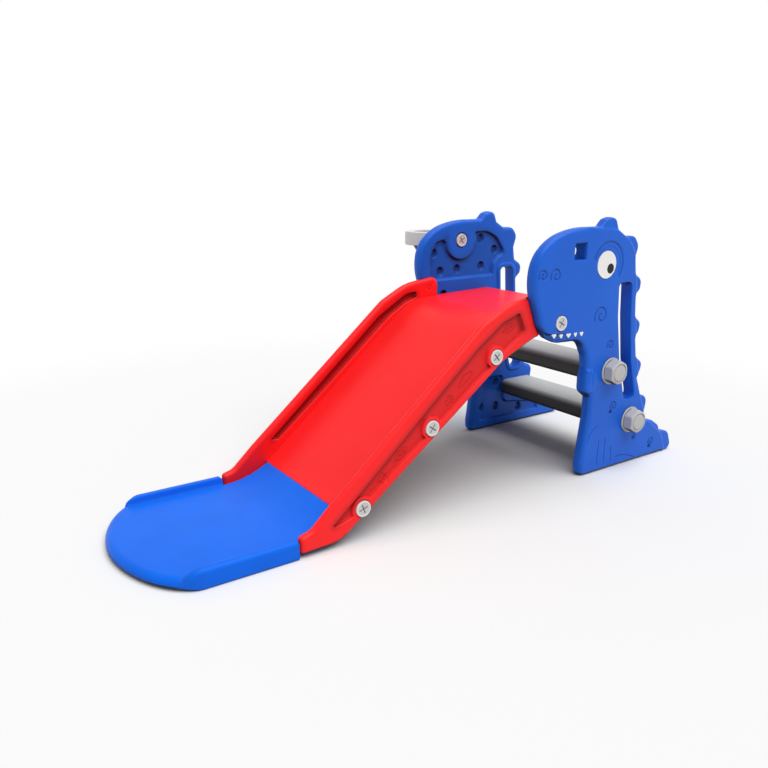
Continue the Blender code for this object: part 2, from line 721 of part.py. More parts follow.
def make_side_fasteners(side, prefix, materials, parent):
    rail_face, panel_face = side * RAIL_OUT, side * PANEL_OUT
    tip = BOARD_HALF - INSERT_LENGTH
    for number, (x, z) in enumerate(rail_screw_places(), 1):
        length = RAIL_OUT - SCREW_HEAD_SUNK - tip
        make_screw(f"{prefix}_rail_screw_{number}", x, z, rail_face, side, length, SHANK_DIAMETER, materials, parent)
        make_insert(f"{prefix}_rail_insert_{number}", x, z, side, materials, parent)
    length = PANEL_OUT - SCREW_HEAD_SUNK - tip
    make_screw(
        f"{prefix}_panel_screw", PANEL_SCREW_X, PANEL_SCREW_Z, panel_face, side, length, SHANK_DIAMETER,
        materials, parent,
    )
    make_insert(f"{prefix}_panel_insert", PANEL_SCREW_X, PANEL_SCREW_Z, side, materials, parent)


# Hoop

def make_hoop(materials, parent):
    """The ring with its arm and square peg, the collar below it, and the bolt from inside the panel."""
    half = HOOP_HEIGHT / 2
    ring = new_object("hoop_ring", ring_mesh(), materials["pale"], parent)
    arm = [
        Vector((SOCKET_X - HOOP_ARM_WIDTH / 2, SOCKET_Z - half)), Vector((SOCKET_X + HOOP_ARM_WIDTH / 2, SOCKET_Z - half)),
        Vector((SOCKET_X + HOOP_ARM_WIDTH / 2, SOCKET_Z + half)), Vector((SOCKET_X - HOOP_ARM_WIDTH / 2, SOCKET_Z + half)),
    ]
    arm = shrunk(arm, MM)
    reach = HOOP_CENTRE_Y - (HOOP_OUTER_RADIUS + HOOP_INNER_RADIUS) / 2
    join(ring, "hoop_arm", slab(arm, PANEL_OUT + TOUCH_GAP, reach), parent)
    peg = box_outline(
        SOCKET_X, SOCKET_Z, SOCKET_WIDTH - 2 * SOCKET_CLEARANCE, SOCKET_HEIGHT - 2 * SOCKET_CLEARANCE
    )
    peg_in = PANEL_OUT - SOCKET_DEPTH + TOUCH_GAP
    join(ring, "hoop_peg", slab(peg, peg_in, PANEL_OUT + HOOP_STAND_OFF / 2), parent)
    insert_end = peg_in + INSERT_LENGTH
    seat = circle(SOCKET_X, SOCKET_Z, HOOP_INSERT_DIAMETER / 2 + TOUCH_GAP, 16)
    cut(ring, "hoop_insert_seat", slab(seat, peg_in - MM, insert_end + INSERT_END_SPACE), parent)
    sleeve = new_object(
        "hoop_insert", slab(circle(SOCKET_X, SOCKET_Z, HOOP_INSERT_DIAMETER / 2, 16), peg_in, insert_end),
        materials["steel"], parent,
    )
    bore = circle(SOCKET_X, SOCKET_Z, HOOP_BOLT_DIAMETER / 2 + TOUCH_GAP, 16)
    cut(sleeve, "hoop_insert_bore", slab(bore, peg_in - MM, insert_end + MM), parent)
    length = insert_end - PANEL_IN - SCREW_HEAD_SUNK
    make_screw("hoop_bolt", SOCKET_X, SOCKET_Z, PANEL_IN, -1, length, HOOP_BOLT_DIAMETER, materials, parent)
    make_collar(materials, parent)


def ring_rings(profile, sides):
    """Rings about the hoop's upright centre line, from (radius, z) points around a closed section."""
    rows = []
    for index in range(sides):
        angle = 2 * math.pi * index / sides
        rows.append([
            (SOCKET_X + radius * math.cos(angle), HOOP_CENTRE_Y + radius * math.sin(angle), z)
            for radius, z in profile
        ])
    return rows


def closed_ring(rows):
    """A closed mesh swept through the rows and back to the first."""
    bm = bmesh.new()
    loops = [[bm.verts.new(point) for point in row] for row in rows]
    count = len(loops[0])
    for index, loop in enumerate(loops):
        following = loops[(index + 1) % len(loops)]
        for i in range(count):
            bm.faces.new((loop[i], loop[(i + 1) % count], following[(i + 1) % count], following[i]))
    return bm


def ring_mesh():
    top, bottom, soft = SOCKET_Z + HOOP_HEIGHT / 2, SOCKET_Z - HOOP_HEIGHT / 2, 3 * MM
    outer, inner = HOOP_OUTER_RADIUS, HOOP_INNER_RADIUS
    profile = [
        (outer, bottom + soft), (outer, top - soft), (outer - soft, top), (inner + soft, top),
        (inner, top - soft), (inner, bottom + soft), (inner + soft, bottom), (outer - soft, bottom),
    ]
    return closed_ring(ring_rings(profile, RING_SIDES))


def make_collar(materials, parent):
    """The short tapered collar under the ring, which would hold a net."""
    top = SOCKET_Z - HOOP_HEIGHT / 2 - TOUCH_GAP
    bottom = top - COLLAR_HEIGHT
    profile = [
        (COLLAR_TOP_RADIUS + COLLAR_WALL, top), (COLLAR_TOP_RADIUS, top),
        (COLLAR_BOTTOM_RADIUS - COLLAR_WALL, bottom), (COLLAR_BOTTOM_RADIUS, bottom),
    ]
    new_object("hoop_collar", closed_ring(ring_rings(profile, RING_SIDES)), materials["dark"], parent)


def main():
    clear_scene()
    materials = make_materials()
    frame = joint_empty("slide_frame", -ORIGIN_STATION, 0.0, 0.0, None)
    for side, prefix in ((-1, "left"), (1, "right")):
        panel = make_panel(side, f"{prefix}_side_panel", materials, frame)
        make_eye(side, prefix, materials, frame)
        make_teeth(side, panel, prefix, materials, frame)
        make_rail(side, f"{prefix}_rail", materials, frame)
        make_side_fasteners(side, prefix, materials, frame)
        for label, x, z in STEP_AXES:
            make_washer_and_nut(side, prefix, label, x, z, materials, frame)
    for label, x, z in STEP_AXES:
        make_step(label, x, z, materials, frame)
    make_chute_board(materials, frame)
    make_runout_board(materials, frame)
    make_hoop(materials, frame)


if __name__ == "__main__":
    main()
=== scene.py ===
"""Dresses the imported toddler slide: moulded panels, rails and boards, screws, nuts, steps and the hoop."""

import json
import math

import bmesh
import bpy
import numpy as np
from mathutils import Matrix, Vector
from mathutils.geometry import delaunay_2d_cdt


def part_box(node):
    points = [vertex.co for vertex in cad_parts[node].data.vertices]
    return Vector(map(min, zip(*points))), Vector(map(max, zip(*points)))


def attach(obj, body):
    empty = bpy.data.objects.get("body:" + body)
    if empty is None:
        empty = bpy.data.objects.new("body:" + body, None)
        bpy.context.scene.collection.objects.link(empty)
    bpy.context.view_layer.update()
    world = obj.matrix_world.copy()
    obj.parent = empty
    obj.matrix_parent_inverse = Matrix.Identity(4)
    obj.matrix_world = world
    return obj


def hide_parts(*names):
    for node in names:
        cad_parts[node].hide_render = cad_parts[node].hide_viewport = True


bl_info = {
    "name": "Toddler Slide",
    "version": (1, 0, 0),
    "blender": (4, 5, 0),
    "location": "View3D > Sidebar > Slide",
    "description": "Builds a toddler slide with dinosaur side panels around its packed frame",
    "category": "Object",
}

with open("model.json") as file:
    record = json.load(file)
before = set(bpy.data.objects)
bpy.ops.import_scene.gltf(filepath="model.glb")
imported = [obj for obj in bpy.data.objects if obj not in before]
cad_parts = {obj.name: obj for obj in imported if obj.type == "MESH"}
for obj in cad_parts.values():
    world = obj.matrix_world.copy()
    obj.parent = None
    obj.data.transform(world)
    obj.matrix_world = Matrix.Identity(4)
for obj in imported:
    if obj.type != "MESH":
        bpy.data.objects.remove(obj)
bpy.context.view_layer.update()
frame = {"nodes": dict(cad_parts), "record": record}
MM = 0.001
FAR = 1.0
SIDES = ((-1, "left"), (1, "right"))

# Places read from the frame
ROOT = "slide_frame"
ORIGIN_STATION = -1000 * MM
PANEL_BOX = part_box("left_side_panel")
PANEL_OUT, PANEL_IN = -PANEL_BOX[0].y, -PANEL_BOX[1].y
RAIL_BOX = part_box("left_rail")
RAIL_OUT, RAIL_IN = -RAIL_BOX[0].y, -RAIL_BOX[1].y
BOARD_GAP = 0.3 * MM
BOARD_HALF = RAIL_IN - BOARD_GAP
WING_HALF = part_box("chute_board")[1].y
RUNOUT_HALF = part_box("runout_board")[1].y

# The chute's line
PLATFORM_Z = 474 * MM
PLATFORM_BACK_X = 77 * MM
PLATFORM_FALL = 11 * MM
PLATFORM_FRONT_X = -232 * MM
CHUTE_SLOPE = 0.85
PLATFORM_RADIUS = 170 * MM
FOOT_RADIUS = 250 * MM
SEAM_X = -707 * MM
LAP_LENGTH = 66 * MM
RUNOUT_THICKNESS = 27 * MM
LAP_DROP = 3 * MM
RUNOUT_START_X = -832 * MM
NOSE_START_X = -1050 * MM
NOSE_LENGTH = 126 * MM
NOSE_ROUNDNESS = 1.82
LIP_WIDTH = 25 * MM
LIP_FADE = 48 * MM

# Outlines as (station, height, corner radius) in millimetres
PANEL_CORNERS = (
    (31, 0, 24), (28, 34, 20), (48, 180, 60), (48, 226, 6), (20, 246, 22), (20, 286, 22), (27, 318, 30),
    (21, 345, 40), (-3, 391, 50), (-92, 394, 50), (-131, 412, 14), (-152, 440, 60), (-191, 540, 160),
    (-182, 614, 100), (-128, 662, 160), (-50, 683, 300), (48, 683, 10), (66, 701, 14), (84, 706, 18),
    (105, 702, 16), (116, 674, 6), (146, 656, 10), (186, 654, 22), (205, 628, 24), (193, 592, 12),
    (199, 554, 10), (230, 535, 20), (226, 508, 14), (208, 492, 10), (213, 436, 10), (243, 414, 20),
    (236, 388, 14), (222, 373, 10), (232, 319, 10), (266, 296, 20), (258, 270, 14), (245, 257, 10),
    (267, 202, 10), (304, 188, 22), (298, 150, 16), (284, 128, 10), (308, 112, 8), (338, 110, 24),
    (371, 89, 20), (380, 69, 8), (424, 59, 24), (447, 0, 18),
)
BODY_CORNERS = (
    (-250, -40, 0), (-250, 760, 0), (-60, 760, 0), (-20, 690, 0), (19, 679, 40), (54, 674, 60), (85, 672, 60),
    (111, 668, 60), (150, 648, 80), (178, 618, 80), (193, 580, 90), (204, 492, 200), (218, 376, 200),
    (231, 318, 200), (246, 261, 200), (266, 190, 90), (290, 138, 60), (316, 108, 40), (352, 80, 60),
    (388, 50, 60), (420, -60, 0),
)
HEAD_FRONT_CORNERS = ((20, 394, 0),) + PANEL_CORNERS[9:16] + ((20, 683, 0),)
SLOT_CORNERS = (
    (132, 532, 12), (184, 532, 16), (190, 440, 60), (208, 312, 90), (240, 196, 14), (193, 198, 14),
    (160, 312, 90), (138, 440, 60),
)
FACE_POCKET_CORNERS = (
    (-150, 505, 12), (-150, 575, 40), (-130, 622, 26), (-97, 630, 8), (-77, 612, 0), (20, 606, 0),
    (25, 648, 6), (76, 650, 80), (118, 628, 60), (154, 578, 14), (124, 560, 20), (107, 542, 20),
    (103, 507, 12),
)
FOOT_POCKET_CORNERS = (
    (68, 26, 12), (80, 176, 16), (168, 176, 16), (176, 84, 20), (330, 62, 14), (340, 26, 10),
)
JAW_CORNERS = (
    (-230, 560, 0), (-196, 482, 30), (-171, 446, 30), (-146, 430, 20), (-119, 423, 20), (-84, 421, 0),
    (-37, 418, 0), (30, 415, 0), (30, 360, 0), (-230, 360, 0),
)
HAND_CORNERS = (
    (-40, 330, 0), (-8, 311, 8), (21, 312, 8), (48, 310, 12), (68, 292, 14), (73, 262, 20), (58, 241, 16),
    (30, 232, 14), (8, 240, 8), (-40, 240, 0),
)
RAIL_TOP_CORNERS = (
    (-830, -19, 9), (-830, 21, 10), (-800, 26, 40), (-743, 63, 150), (-322, 79, 110), (-240, 59, 160),
    (-124, 57, 22), (-124, -15, 0), (-12, -15, 8),
)
RAIL_BOTTOM_CORNERS = ((-12, -37, 8), (-150, -54, 140), (-253, -76, 220), (-728, -40, 90))
FLANK_POCKET_CORNERS = (
    (-764, 8, 5), (-700, 31, 60), (-437, 40, 90), (-345, 40, 90), (-262, 29, 60), (-208, 23, 10),
    (-186, -26, 10), (-204, -42, 10), (-250, -55, 60), (-417, -41, 100), (-581, -17, 100), (-700, -6, 60),
)
INNER_RECESS_CORNERS = (
    (-694, 46, 4), (-340, 51, 80), (-240, 33, 60), (-206, 22, 8), (-200, 5, 8), (-244, 5, 60),
    (-300, 13, 80), (-500, 16, 80), (-668, 24, 5),
)
RAIL_SCREWS = ((-281, -42), (-476, -22), (-670, -12))
PANEL_SCREW = (-84 * MM, 446 * MM)
SOCKET = (-29 * MM, 623 * MM)
SOCKET_SIZE = (44 * MM, 42 * MM)
SOCKET_DEPTH = 20 * MM
SOCKET_HOLE_RADIUS = 10 * MM
SOCKET_BOSS_RADIUS = 55 * MM
SOCKET_DIMPLE_RADIUS = 19 * MM
BOLT_SEAT_RADIUS = 23 * MM
EYE = (73 * MM, 585 * MM)
EYE_RADIUS = 37.4 * MM
DIMPLE_RADIUS = 16 * MM
BORE_RADIUS = 23 * MM
STEP_AXES = {"lower": (225 * MM, 134 * MM), "upper": (123 * MM, 292 * MM)}
# Paths of painted shade along the head pocket's upper edges.
FACE_POCKET_SHADES = (
    ((-143, 560), (-138, 598), (-120, 616), (-100, 623)), ((32, 642), (76, 643), (112, 622), (142, 582)),
)
INNER_DIMPLES = (
    (-129, 588), (-103, 532), (-38, 536), (58, 540), (54, 625), (112, 588), (-95, 463), (78, 74), (144, 69),
    (248, 50), (142, 150),
)
SPIRALS = (
    (67, 451, 27), (114, 366, 15), (148, 187, 15), (334, 45, 13), (-158, 571, 16), (-113, 568, 20),
    (252, 76, 9),
)
DROPS = ((138, 172, 6.5), (329, 31, 7), (252, 71, 4))
CREASES = (
    ((87, 141), (70, 130), (57, 118), (49, 96)), ((98, 93), (96, 58), (95, 22)),
    ((124, 92), (123, 58), (124, 24)), ((150, 64), (153, 44), (154, 22)),
    ((174, 29), (196, 30), (226, 24), (262, 10)),
    ((38, 306), (34, 290), (32, 270)), ((52, 304), (48, 286), (48, 266)),
)


# Outlines

def rounded(corners, steps=8):
    """The outline through (station, height, radius) corners in millimetres, with each corner as an arc."""
    points = []
    count = len(corners)
    for index, (x, z, radius) in enumerate(corners):
        here = Vector((x, z)) * MM
        before = Vector(corners[index - 1][:2]) * MM - here
        after = Vector(corners[(index + 1) % count][:2]) * MM - here
        if radius == 0:
            points.append(here)
            continue
        points += corner_arc(here, before, after, radius * MM, steps)
    return np.array([tuple(point) for point in points])


def corner_arc(here, before, after, radius, steps):
    half = before.angle(after) / 2
    reach = min(radius / math.tan(half), 0.49 * before.length, 0.49 * after.length)
    radius = reach * math.tan(half)
    start = here + before.normalized() * reach
    end = here + after.normalized() * reach
    middle = (before.normalized() + after.normalized()).normalized()
    centre = here + middle * (radius / math.sin(half))
    first, last = start - centre, end - centre
    sweep = first.angle_signed(last)
    return [centre + turned(first, sweep * step / steps) for step in range(steps + 1)]


def turned(vector, angle):
    """The 2-D vector turned clockwise, the sense of angle_signed."""
    cos, sin = math.cos(angle), math.sin(angle)
    return Vector((vector.x * cos + vector.y * sin, vector.y * cos - vector.x * sin))


def circle(x, z, radius, count=48):
    angles = np.arange(count) * 2 * math.pi / count
    return np.column_stack([x + radius * np.cos(angles), z + radius * np.sin(angles)])


def box_outline(x, z, width, height):
    return np.array([
        (x - width / 2, z - height / 2), (x + width / 2, z - height / 2),
        (x + width / 2, z + height / 2), (x - width / 2, z + height / 2),
    ])


def resampled(loop, step):
    """The closed outline anticlockwise, as evenly spaced points about a step apart."""
    x, y = loop[:, 0], loop[:, 1]
    if np.sum(x * np.roll(y, -1) - y * np.roll(x, -1)) < 0:
        loop = loop[::-1]
    closed = np.vstack([loop, loop[:1]])
    lengths = np.hypot(*np.diff(closed, axis=0).T)
    along = np.concatenate([[0], np.cumsum(lengths)])
    count = max(8, int(round(along[-1] / step)))
    marks = np.arange(count) * along[-1] / count
    return np.column_stack([np.interp(marks, along, closed[:, axis]) for axis in (0, 1)])


def distance(points, path, closed=True):
    """Each point's distance to a path."""
    best = np.full(len(points), 1e9)
    ends = np.roll(path, -1, axis=0) if closed else path[1:]
    for start, end in zip(path, ends):
        step = end - start
        length = step @ step
        away = points - start
        share = np.clip(away @ step / length, 0, 1) if length else np.zeros(len(points))
        away = away - share[:, None] * step
        np.minimum(best, np.einsum("ij,ij->i", away, away), out=best)
    return np.sqrt(best)


def inside(points, loop):
    x, y = points.T
    result = np.zeros(len(points), bool)
    for start, end in zip(loop, np.roll(loop, -1, axis=0)):
        spans = (start[1] > y) != (end[1] > y)
        if start[1] != end[1]:
            crossing = start[0] + (y - start[1]) * (end[0] - start[0]) / (end[1] - start[1])
            result ^= spans & (x < crossing)
    return result


def signed(points, loop):
    """Distance to a closed outline, negative inside it."""
    away = distance(points, loop)
    return np.where(inside(points, loop), -away, away)


def smooth(share):
    share = np.clip(share, 0, 1)
    return share * share * (3 - 2 * share)


# The chute's line

def surface_line(steps=24):
    back = Vector((PLATFORM_BACK_X, PLATFORM_Z))
    brow = Vector((PLATFORM_FRONT_X, PLATFORM_Z - PLATFORM_FALL))
    foot = Vector((PLATFORM_FRONT_X - (brow.y - RUNOUT_THICKNESS) / CHUTE_SLOPE, RUNOUT_THICKNESS))
    end = Vector((NOSE_START_X - NOSE_LENGTH, RUNOUT_THICKNESS))
    line = [back]
    line += corner_arc(brow, back - brow, foot - brow, PLATFORM_RADIUS, steps)
    line += corner_arc(foot, brow - foot, end - foot, FOOT_RADIUS, steps)
    line.append(end)
    return np.array([tuple(point) for point in line])


LINE = surface_line()
LINE_AT = np.concatenate([[0], np.cumsum(np.hypot(*np.diff(LINE, axis=0).T))])


def surface_z(x):
    return np.interp(x, LINE[::-1, 0], LINE[::-1, 1])


def line_at_station(x):
    """Distance along the sliding surface, from the platform's back edge, of a station."""
    return np.interp(-np.asarray(x), -LINE[:, 0], LINE_AT)


def along_line(s, w):
    """The (x, z) places w above the sliding surface, square to it, at the distances s along it."""
    x, z = np.interp(s, LINE_AT, LINE[:, 0]), np.interp(s, LINE_AT, LINE[:, 1])
    half = 4 * MM
    dx = np.interp(s + half, LINE_AT, LINE[:, 0]) - np.interp(s - half, LINE_AT, LINE[:, 0])
    dz = np.interp(s + half, LINE_AT, LINE[:, 1]) - np.interp(s - half, LINE_AT, LINE[:, 1])
    length = np.hypot(dx, dz)
    return x + w * dz / length, z - w * dx / length


def above_chute(corners):
    return [(x, float(surface_z(x * MM)) / MM + height, radius) for x, height, radius in corners]


# Reliefs: shapes raised or sunk on a moulded face

def close_to(points, path, margin):
    """Which points lie within the margin of the path's bounding box."""
    low, high = path.min(axis=0) - margin, path.max(axis=0) + margin
    return np.all((points > low) & (points < high), axis=1)


class Groove:
    """A soft engraved line."""

    fades = True

    # shade weights the painted shade that the groove's depth gives.
    def __init__(self, path, width, depth, shade=2.4):
        self.path, self.width, self.depth, self.shade = np.asarray(path), width, depth, shade

    def away(self, points):
        """Distance from the line, as far as it matters."""
        away = np.full(len(points), FAR)
        near = close_to(points, self.path, 2 * self.width)
        away[near] = distance(points[near], self.path, closed=False)
        return away

    def fine(self, away):
        return away < 1.5 * min(self.width, 6 * MM)

    def height(self, away, stations):
        return -self.depth * (1 + np.cos(np.pi * np.clip(away / self.width, 0, 1))) / 2


class Pocket:
    """A sunk area with sloping walls; a negative depth raises it, and islands stay at the face."""

    # shade weights the painted shade that the pocket's depth gives.
    def __init__(self, loop, depth, wall, islands=(), fades=True, taper=None, shade=0.35):
        self.loop, self.depth, self.wall, self.islands, self.fades = loop, depth, wall, islands, fades
        self.taper, self.shade = taper, shade

    def away(self, points):
        away = np.full(len(points), FAR)
        near = close_to(points, self.loop, self.wall + 4 * MM)
        away[near] = signed(points[near], self.loop)
        for island in self.islands:
            away[near] = np.maximum(away[near], -signed(points[near], island))
        return away

    def fine(self, away):
        return np.abs(away + self.wall / 2) < self.wall / 2 + 2 * MM

    def height(self, away, stations):
        sunk = -self.depth * smooth(-away / self.wall)
        if self.taper:
            start, end = self.taper
            sunk = sunk * (1 - smooth((stations - start) / (end - start)))
        return sunk


class Terrace:
    """Two levels that meet along an outline: one drop inside it, another beyond its wall."""

    fades = False
    shade = 0

    def __init__(self, loop, inner_drop, outer_drop, wall):
        self.loop, self.inner_drop, self.outer_drop, self.wall = loop, inner_drop, outer_drop, wall

    def away(self, points):
        return signed(points, self.loop)

    def fine(self, away):
        return np.abs(away - self.wall / 2) < self.wall / 2 + 2 * MM

    def height(self, away, stations):
        return -self.inner_drop + (self.inner_drop - self.outer_drop) * smooth(away / self.wall)


def spiral(x, z, radius, turns=1.3, count=30):
    """A curl that closes in clockwise from the radius on its centre."""
    share = np.linspace(0, 1, count)
    angle = math.radians(205) - 2 * math.pi * turns * share
    reach = radius * (1 - 0.8 * share)
    return np.column_stack([x + reach * np.cos(angle), z + reach * np.sin(angle)])


def arc(x, z, radius, start, end, count=24):
    angle = np.radians(np.linspace(start, end, count))
    return np.column_stack([x + radius * np.cos(angle), z + radius * np.sin(angle)])


def curve_through(points, count=24):
    """A smooth path through (x, z) points in millimetres."""
    points = np.array(points, float) * MM
    padded = np.vstack([2 * points[0] - points[1], points, 2 * points[-1] - points[-2]])
    path = []
    for i in range(1, len(padded) - 2):
        a, b, c, d = padded[i - 1:i + 3]
        for t in np.linspace(0, 1, max(2, count // (len(points) - 1)), endpoint=False):
            bend = (2 * a - 5 * b + 4 * c - d) * t ** 2 + (3 * b - a - 3 * c + d) * t ** 3
            path.append(0.5 * (2 * b + (c - a) * t + bend))
    path.append(points[-1])
    return np.array(path)


# Moulded plates

EDGE_SHARES = (0.02, 0.09, 0.2, 0.35, 0.53, 0.74, 1.0)


class Face:
    """One face of a plate: its level, how round its rim is, and the reliefs on it."""

    def __init__(self, level, edge, reliefs=(), shape=None, hole_edge=None, edge_at=None, full_shade=9 * MM):
        self.level, self.edge, self.reliefs, self.shape = level, edge, reliefs, shape
        self.full_shade = full_shade
        self.hole_edge = edge if hole_edge is None else hole_edge
        self.edge_at = edge_at


def outward(loop):
    """The unit normals of an anticlockwise outline, pointing out of it."""
    along = np.roll(loop, -1, axis=0) - np.roll(loop, 1, axis=0)
    along /= np.hypot(*along.T)[:, None]
    return np.column_stack([along[:, 1], -along[:, 0]])


def grown(loop, by):
    """An anticlockwise outline moved outward, square to itself."""
    return loop + by * outward(loop)


def rim_points(loops, face):
    """Points in rings beside the outlines, closer together towards them."""
    rings = []
    for number, loop in enumerate(loops):
        edge = -face.edge if number == 0 else face.hole_edge
        for index, share in enumerate(EDGE_SHARES):
            ring = grown(loop, share * edge)[index % 2:]
            rings.append(ring[nearest_edge(ring, loops) > 0.97 * share * abs(edge)])
    return np.vstack(rings)


def hex_grid(low, high, step):
    rows = np.arange(low[1], high[1], step * math.sqrt(0.75))
    columns = np.arange(low[0], high[0], step)
    x, y = np.meshgrid(columns, rows)
    x = x + (np.arange(len(rows)) % 2)[:, None] * step / 2
    return np.column_stack([x.ravel(), y.ravel()])


def sheet(outline, holes, face, coarse, fine):
    """(points, heights, shades, triangles, rim) of a face; rim lists the outlines' own points, in order."""
    loops = [outline, *holes]
    low, high = outline.min(axis=0), outline.max(axis=0)
    rims = rim_points(loops, face)
    wide = hex_grid(low, high, coarse)
    wide = wide[region(wide, loops)]
    wide = wide[nearest_edge(wide, loops) > face.edge + coarse / 3]
    chosen = [rims, wide]
    if face.reliefs:
        close = hex_grid(low, high, fine)
        close = close[near_reliefs(close, face.reliefs)]
        close = close[region(close, loops)]
        close = close[nearest_edge(close, loops) > 1.2 * fine]
        kept = ~near_reliefs(rims, face.reliefs) | (nearest_edge(rims, loops) < 1.3 * fine)
        chosen = [rims[kept], close, wide[~near_reliefs(wide, face.reliefs)]]
    count = sum(len(loop) for loop in loops)
    edges, start = [], 0
    for loop in loops:
        size = len(loop)
        edges += [(start + i, start + (i + 1) % size) for i in range(size)]
        start += size
    found = delaunay_2d_cdt([Vector(p) for p in np.vstack(loops + chosen).tolist()], edges, [], 0, 1e-7)
    flat = np.array([tuple(v) for v in found[0]])
    triangles = np.array(found[2])
    rim = [None] * count
    for new, olds in enumerate(found[3]):
        for old in olds:
            if old < count:
                rim[old] = new
    on_rim = np.zeros(len(flat), bool)
    on_rim[rim] = True
    doubtful = np.flatnonzero(on_rim[triangles].all(axis=1))
    outside = doubtful[~region(flat[triangles[doubtful]].mean(axis=1), loops)]
    triangles = np.delete(triangles, outside, axis=0)
    height, sunk = heights(flat, loops, rim, face)
    return flat, height, sunk, triangles, rim


def heights(flat, loops, rim, face):
    """The face's height at each point, less the rounding of its rims, and the painted shade that its reliefs
    give it.
    """
    level = np.full(len(flat), face.level) if face.shape is None else face.shape(flat)
    fade = np.ones(len(flat))
    start = 0
    for number, loop in enumerate(loops):
        away = distance(flat, loop)
        away[rim[start:start + len(loop)]] = 0
        start += len(loop)
        edge = face.edge if number == 0 else face.hole_edge
        if number == 0 and face.edge_at:
            edge = face.edge_at(flat)
        inset = np.clip(edge - away, 0, edge)
        level = level - (edge - np.sqrt(np.maximum(edge * edge - inset * inset, 0)))
        if number == 0:
            fade = smooth(away / (4 * MM))
    sunk = np.zeros(len(flat))
    for relief in face.reliefs:
        rise = relief.height(relief.away(flat), flat[:, 0]) * (fade if relief.fades else 1)
        level = level + rise
        # Painted shade: each relief darkens the face by its depth times its shade weight.
        sunk -= relief.shade * rise
    return level, np.clip(sunk / face.full_shade, 0, 1)


def near_reliefs(points, reliefs):
    """Which points lie where a relief's walls need the fine grid."""
    near = np.zeros(len(points), bool)
    for relief in reliefs:
        near |= relief.fine(relief.away(points))
    return near


def region(points, loops):
    result = inside(points, loops[0])
    for hole in loops[1:]:
        result &= ~inside(points, hole)
    return result


def nearest_edge(points, loops):
    return np.min([distance(points, loop) for loop in loops], axis=0)


def plate(
    name, outline, holes, front, back, place,
    coarse=6 * MM, fine=1.7 * MM, rim_step=2.4 * MM, ridge=0.25 * MM,
):
    """A closed moulded plate between a front and a back face, with a parting line round its rim.

    place turns (u, v, w) arrays into world points; w runs from the back face to the front one.
    """
    loops = [resampled(loop, rim_step) for loop in (outline, *holes)]
    points, faces, rims, painted_shades = [], [], [], []
    offset = 0
    for face, sense in ((front, 1), (back, -1)):
        flat, height, sunk, triangles, rim = sheet(loops[0], loops[1:], face, coarse, fine)
        points.append(np.column_stack([flat, height * sense]))
        painted_shades.append(sunk)
        faces += [tuple(offset + i for i in t[::sense]) for t in triangles.tolist()]
        rims.append([offset + i for i in rim])
        offset += len(flat)
    heights_by_point = np.concatenate([rows[:, 2] for rows in points])
    start = 0
    for number, loop in enumerate(loops):
        size, sense = len(loop), 1 if number == 0 else -1
        upper, lower = (rim[start:start + size] for rim in rims)
        start += size
        high, low = heights_by_point[upper], heights_by_point[lower]
        rows = [upper]
        for share, swell in ((0.42, 0.0), (0.5, 1.0), (0.58, 0.0)):
            ring = grown(loop, sense * ridge * swell)
            points.append(np.column_stack([ring, high + (low - high) * share]))
            painted_shades.append(np.zeros(size))
            rows.append(list(range(offset, offset + size)))
            offset += size
        rows.append(lower)
        for first, second in zip(rows, rows[1:]):
            for i in range(size):
                j = (i + 1) % size
                faces.append((first[i], second[i], second[j], first[j])[::sense])
    return mesh_object(name, place(*np.vstack(points).T), faces, np.concatenate(painted_shades))


SHARP_ANGLE = 32


def mesh_object(name, points, faces, sunk=None, crease=None):
    """A smooth-shaded object; sunk is a painted shade per point, crease the angle past which edges stay
    sharp.
    """
    mesh = bpy.data.meshes.new(name)
    mesh.from_pydata([tuple(p) for p in np.asarray(points).tolist()], [], faces)
    if sunk is not None:
        # The sunk attribute carries the painted shade that the materials darken by.
        mesh.attributes.new("sunk", "FLOAT", "POINT").data.foreach_set("value", sunk.astype(np.float32))
    bm = bmesh.new()
    bm.from_mesh(mesh)
    bmesh.ops.remove_doubles(bm, verts=bm.verts, dist=1e-6)
    bmesh.ops.recalc_face_normals(bm, faces=bm.faces)
    bm.to_mesh(mesh)
    bm.free()
    mesh.shade_smooth()
    if crease:
        mesh.set_sharp_from_angle(angle=math.radians(crease))
    return linked(name, mesh)


def linked(name, data):
    """A new object of the data, in the scene."""
    obj = bpy.data.objects.new(name, data)
    bpy.context.scene.collection.objects.link(obj)
    return obj


def mirrored(obj, name):
    """A copy on the other side of the slide."""
    mesh = obj.data.copy()
    mesh.name = name
    mesh.transform(Matrix.Scale(-1, 4, (0, 1, 0)))
    mesh.flip_normals()
    return linked(name, mesh)


def upright(side, face_y):
    """Places (x, z, w) on a side of the slide, w outward from the plane at face_y."""
    def place(u, v, w):
        return np.column_stack([u - ORIGIN_STATION, side * (face_y + w), v])
    return place


# Materials

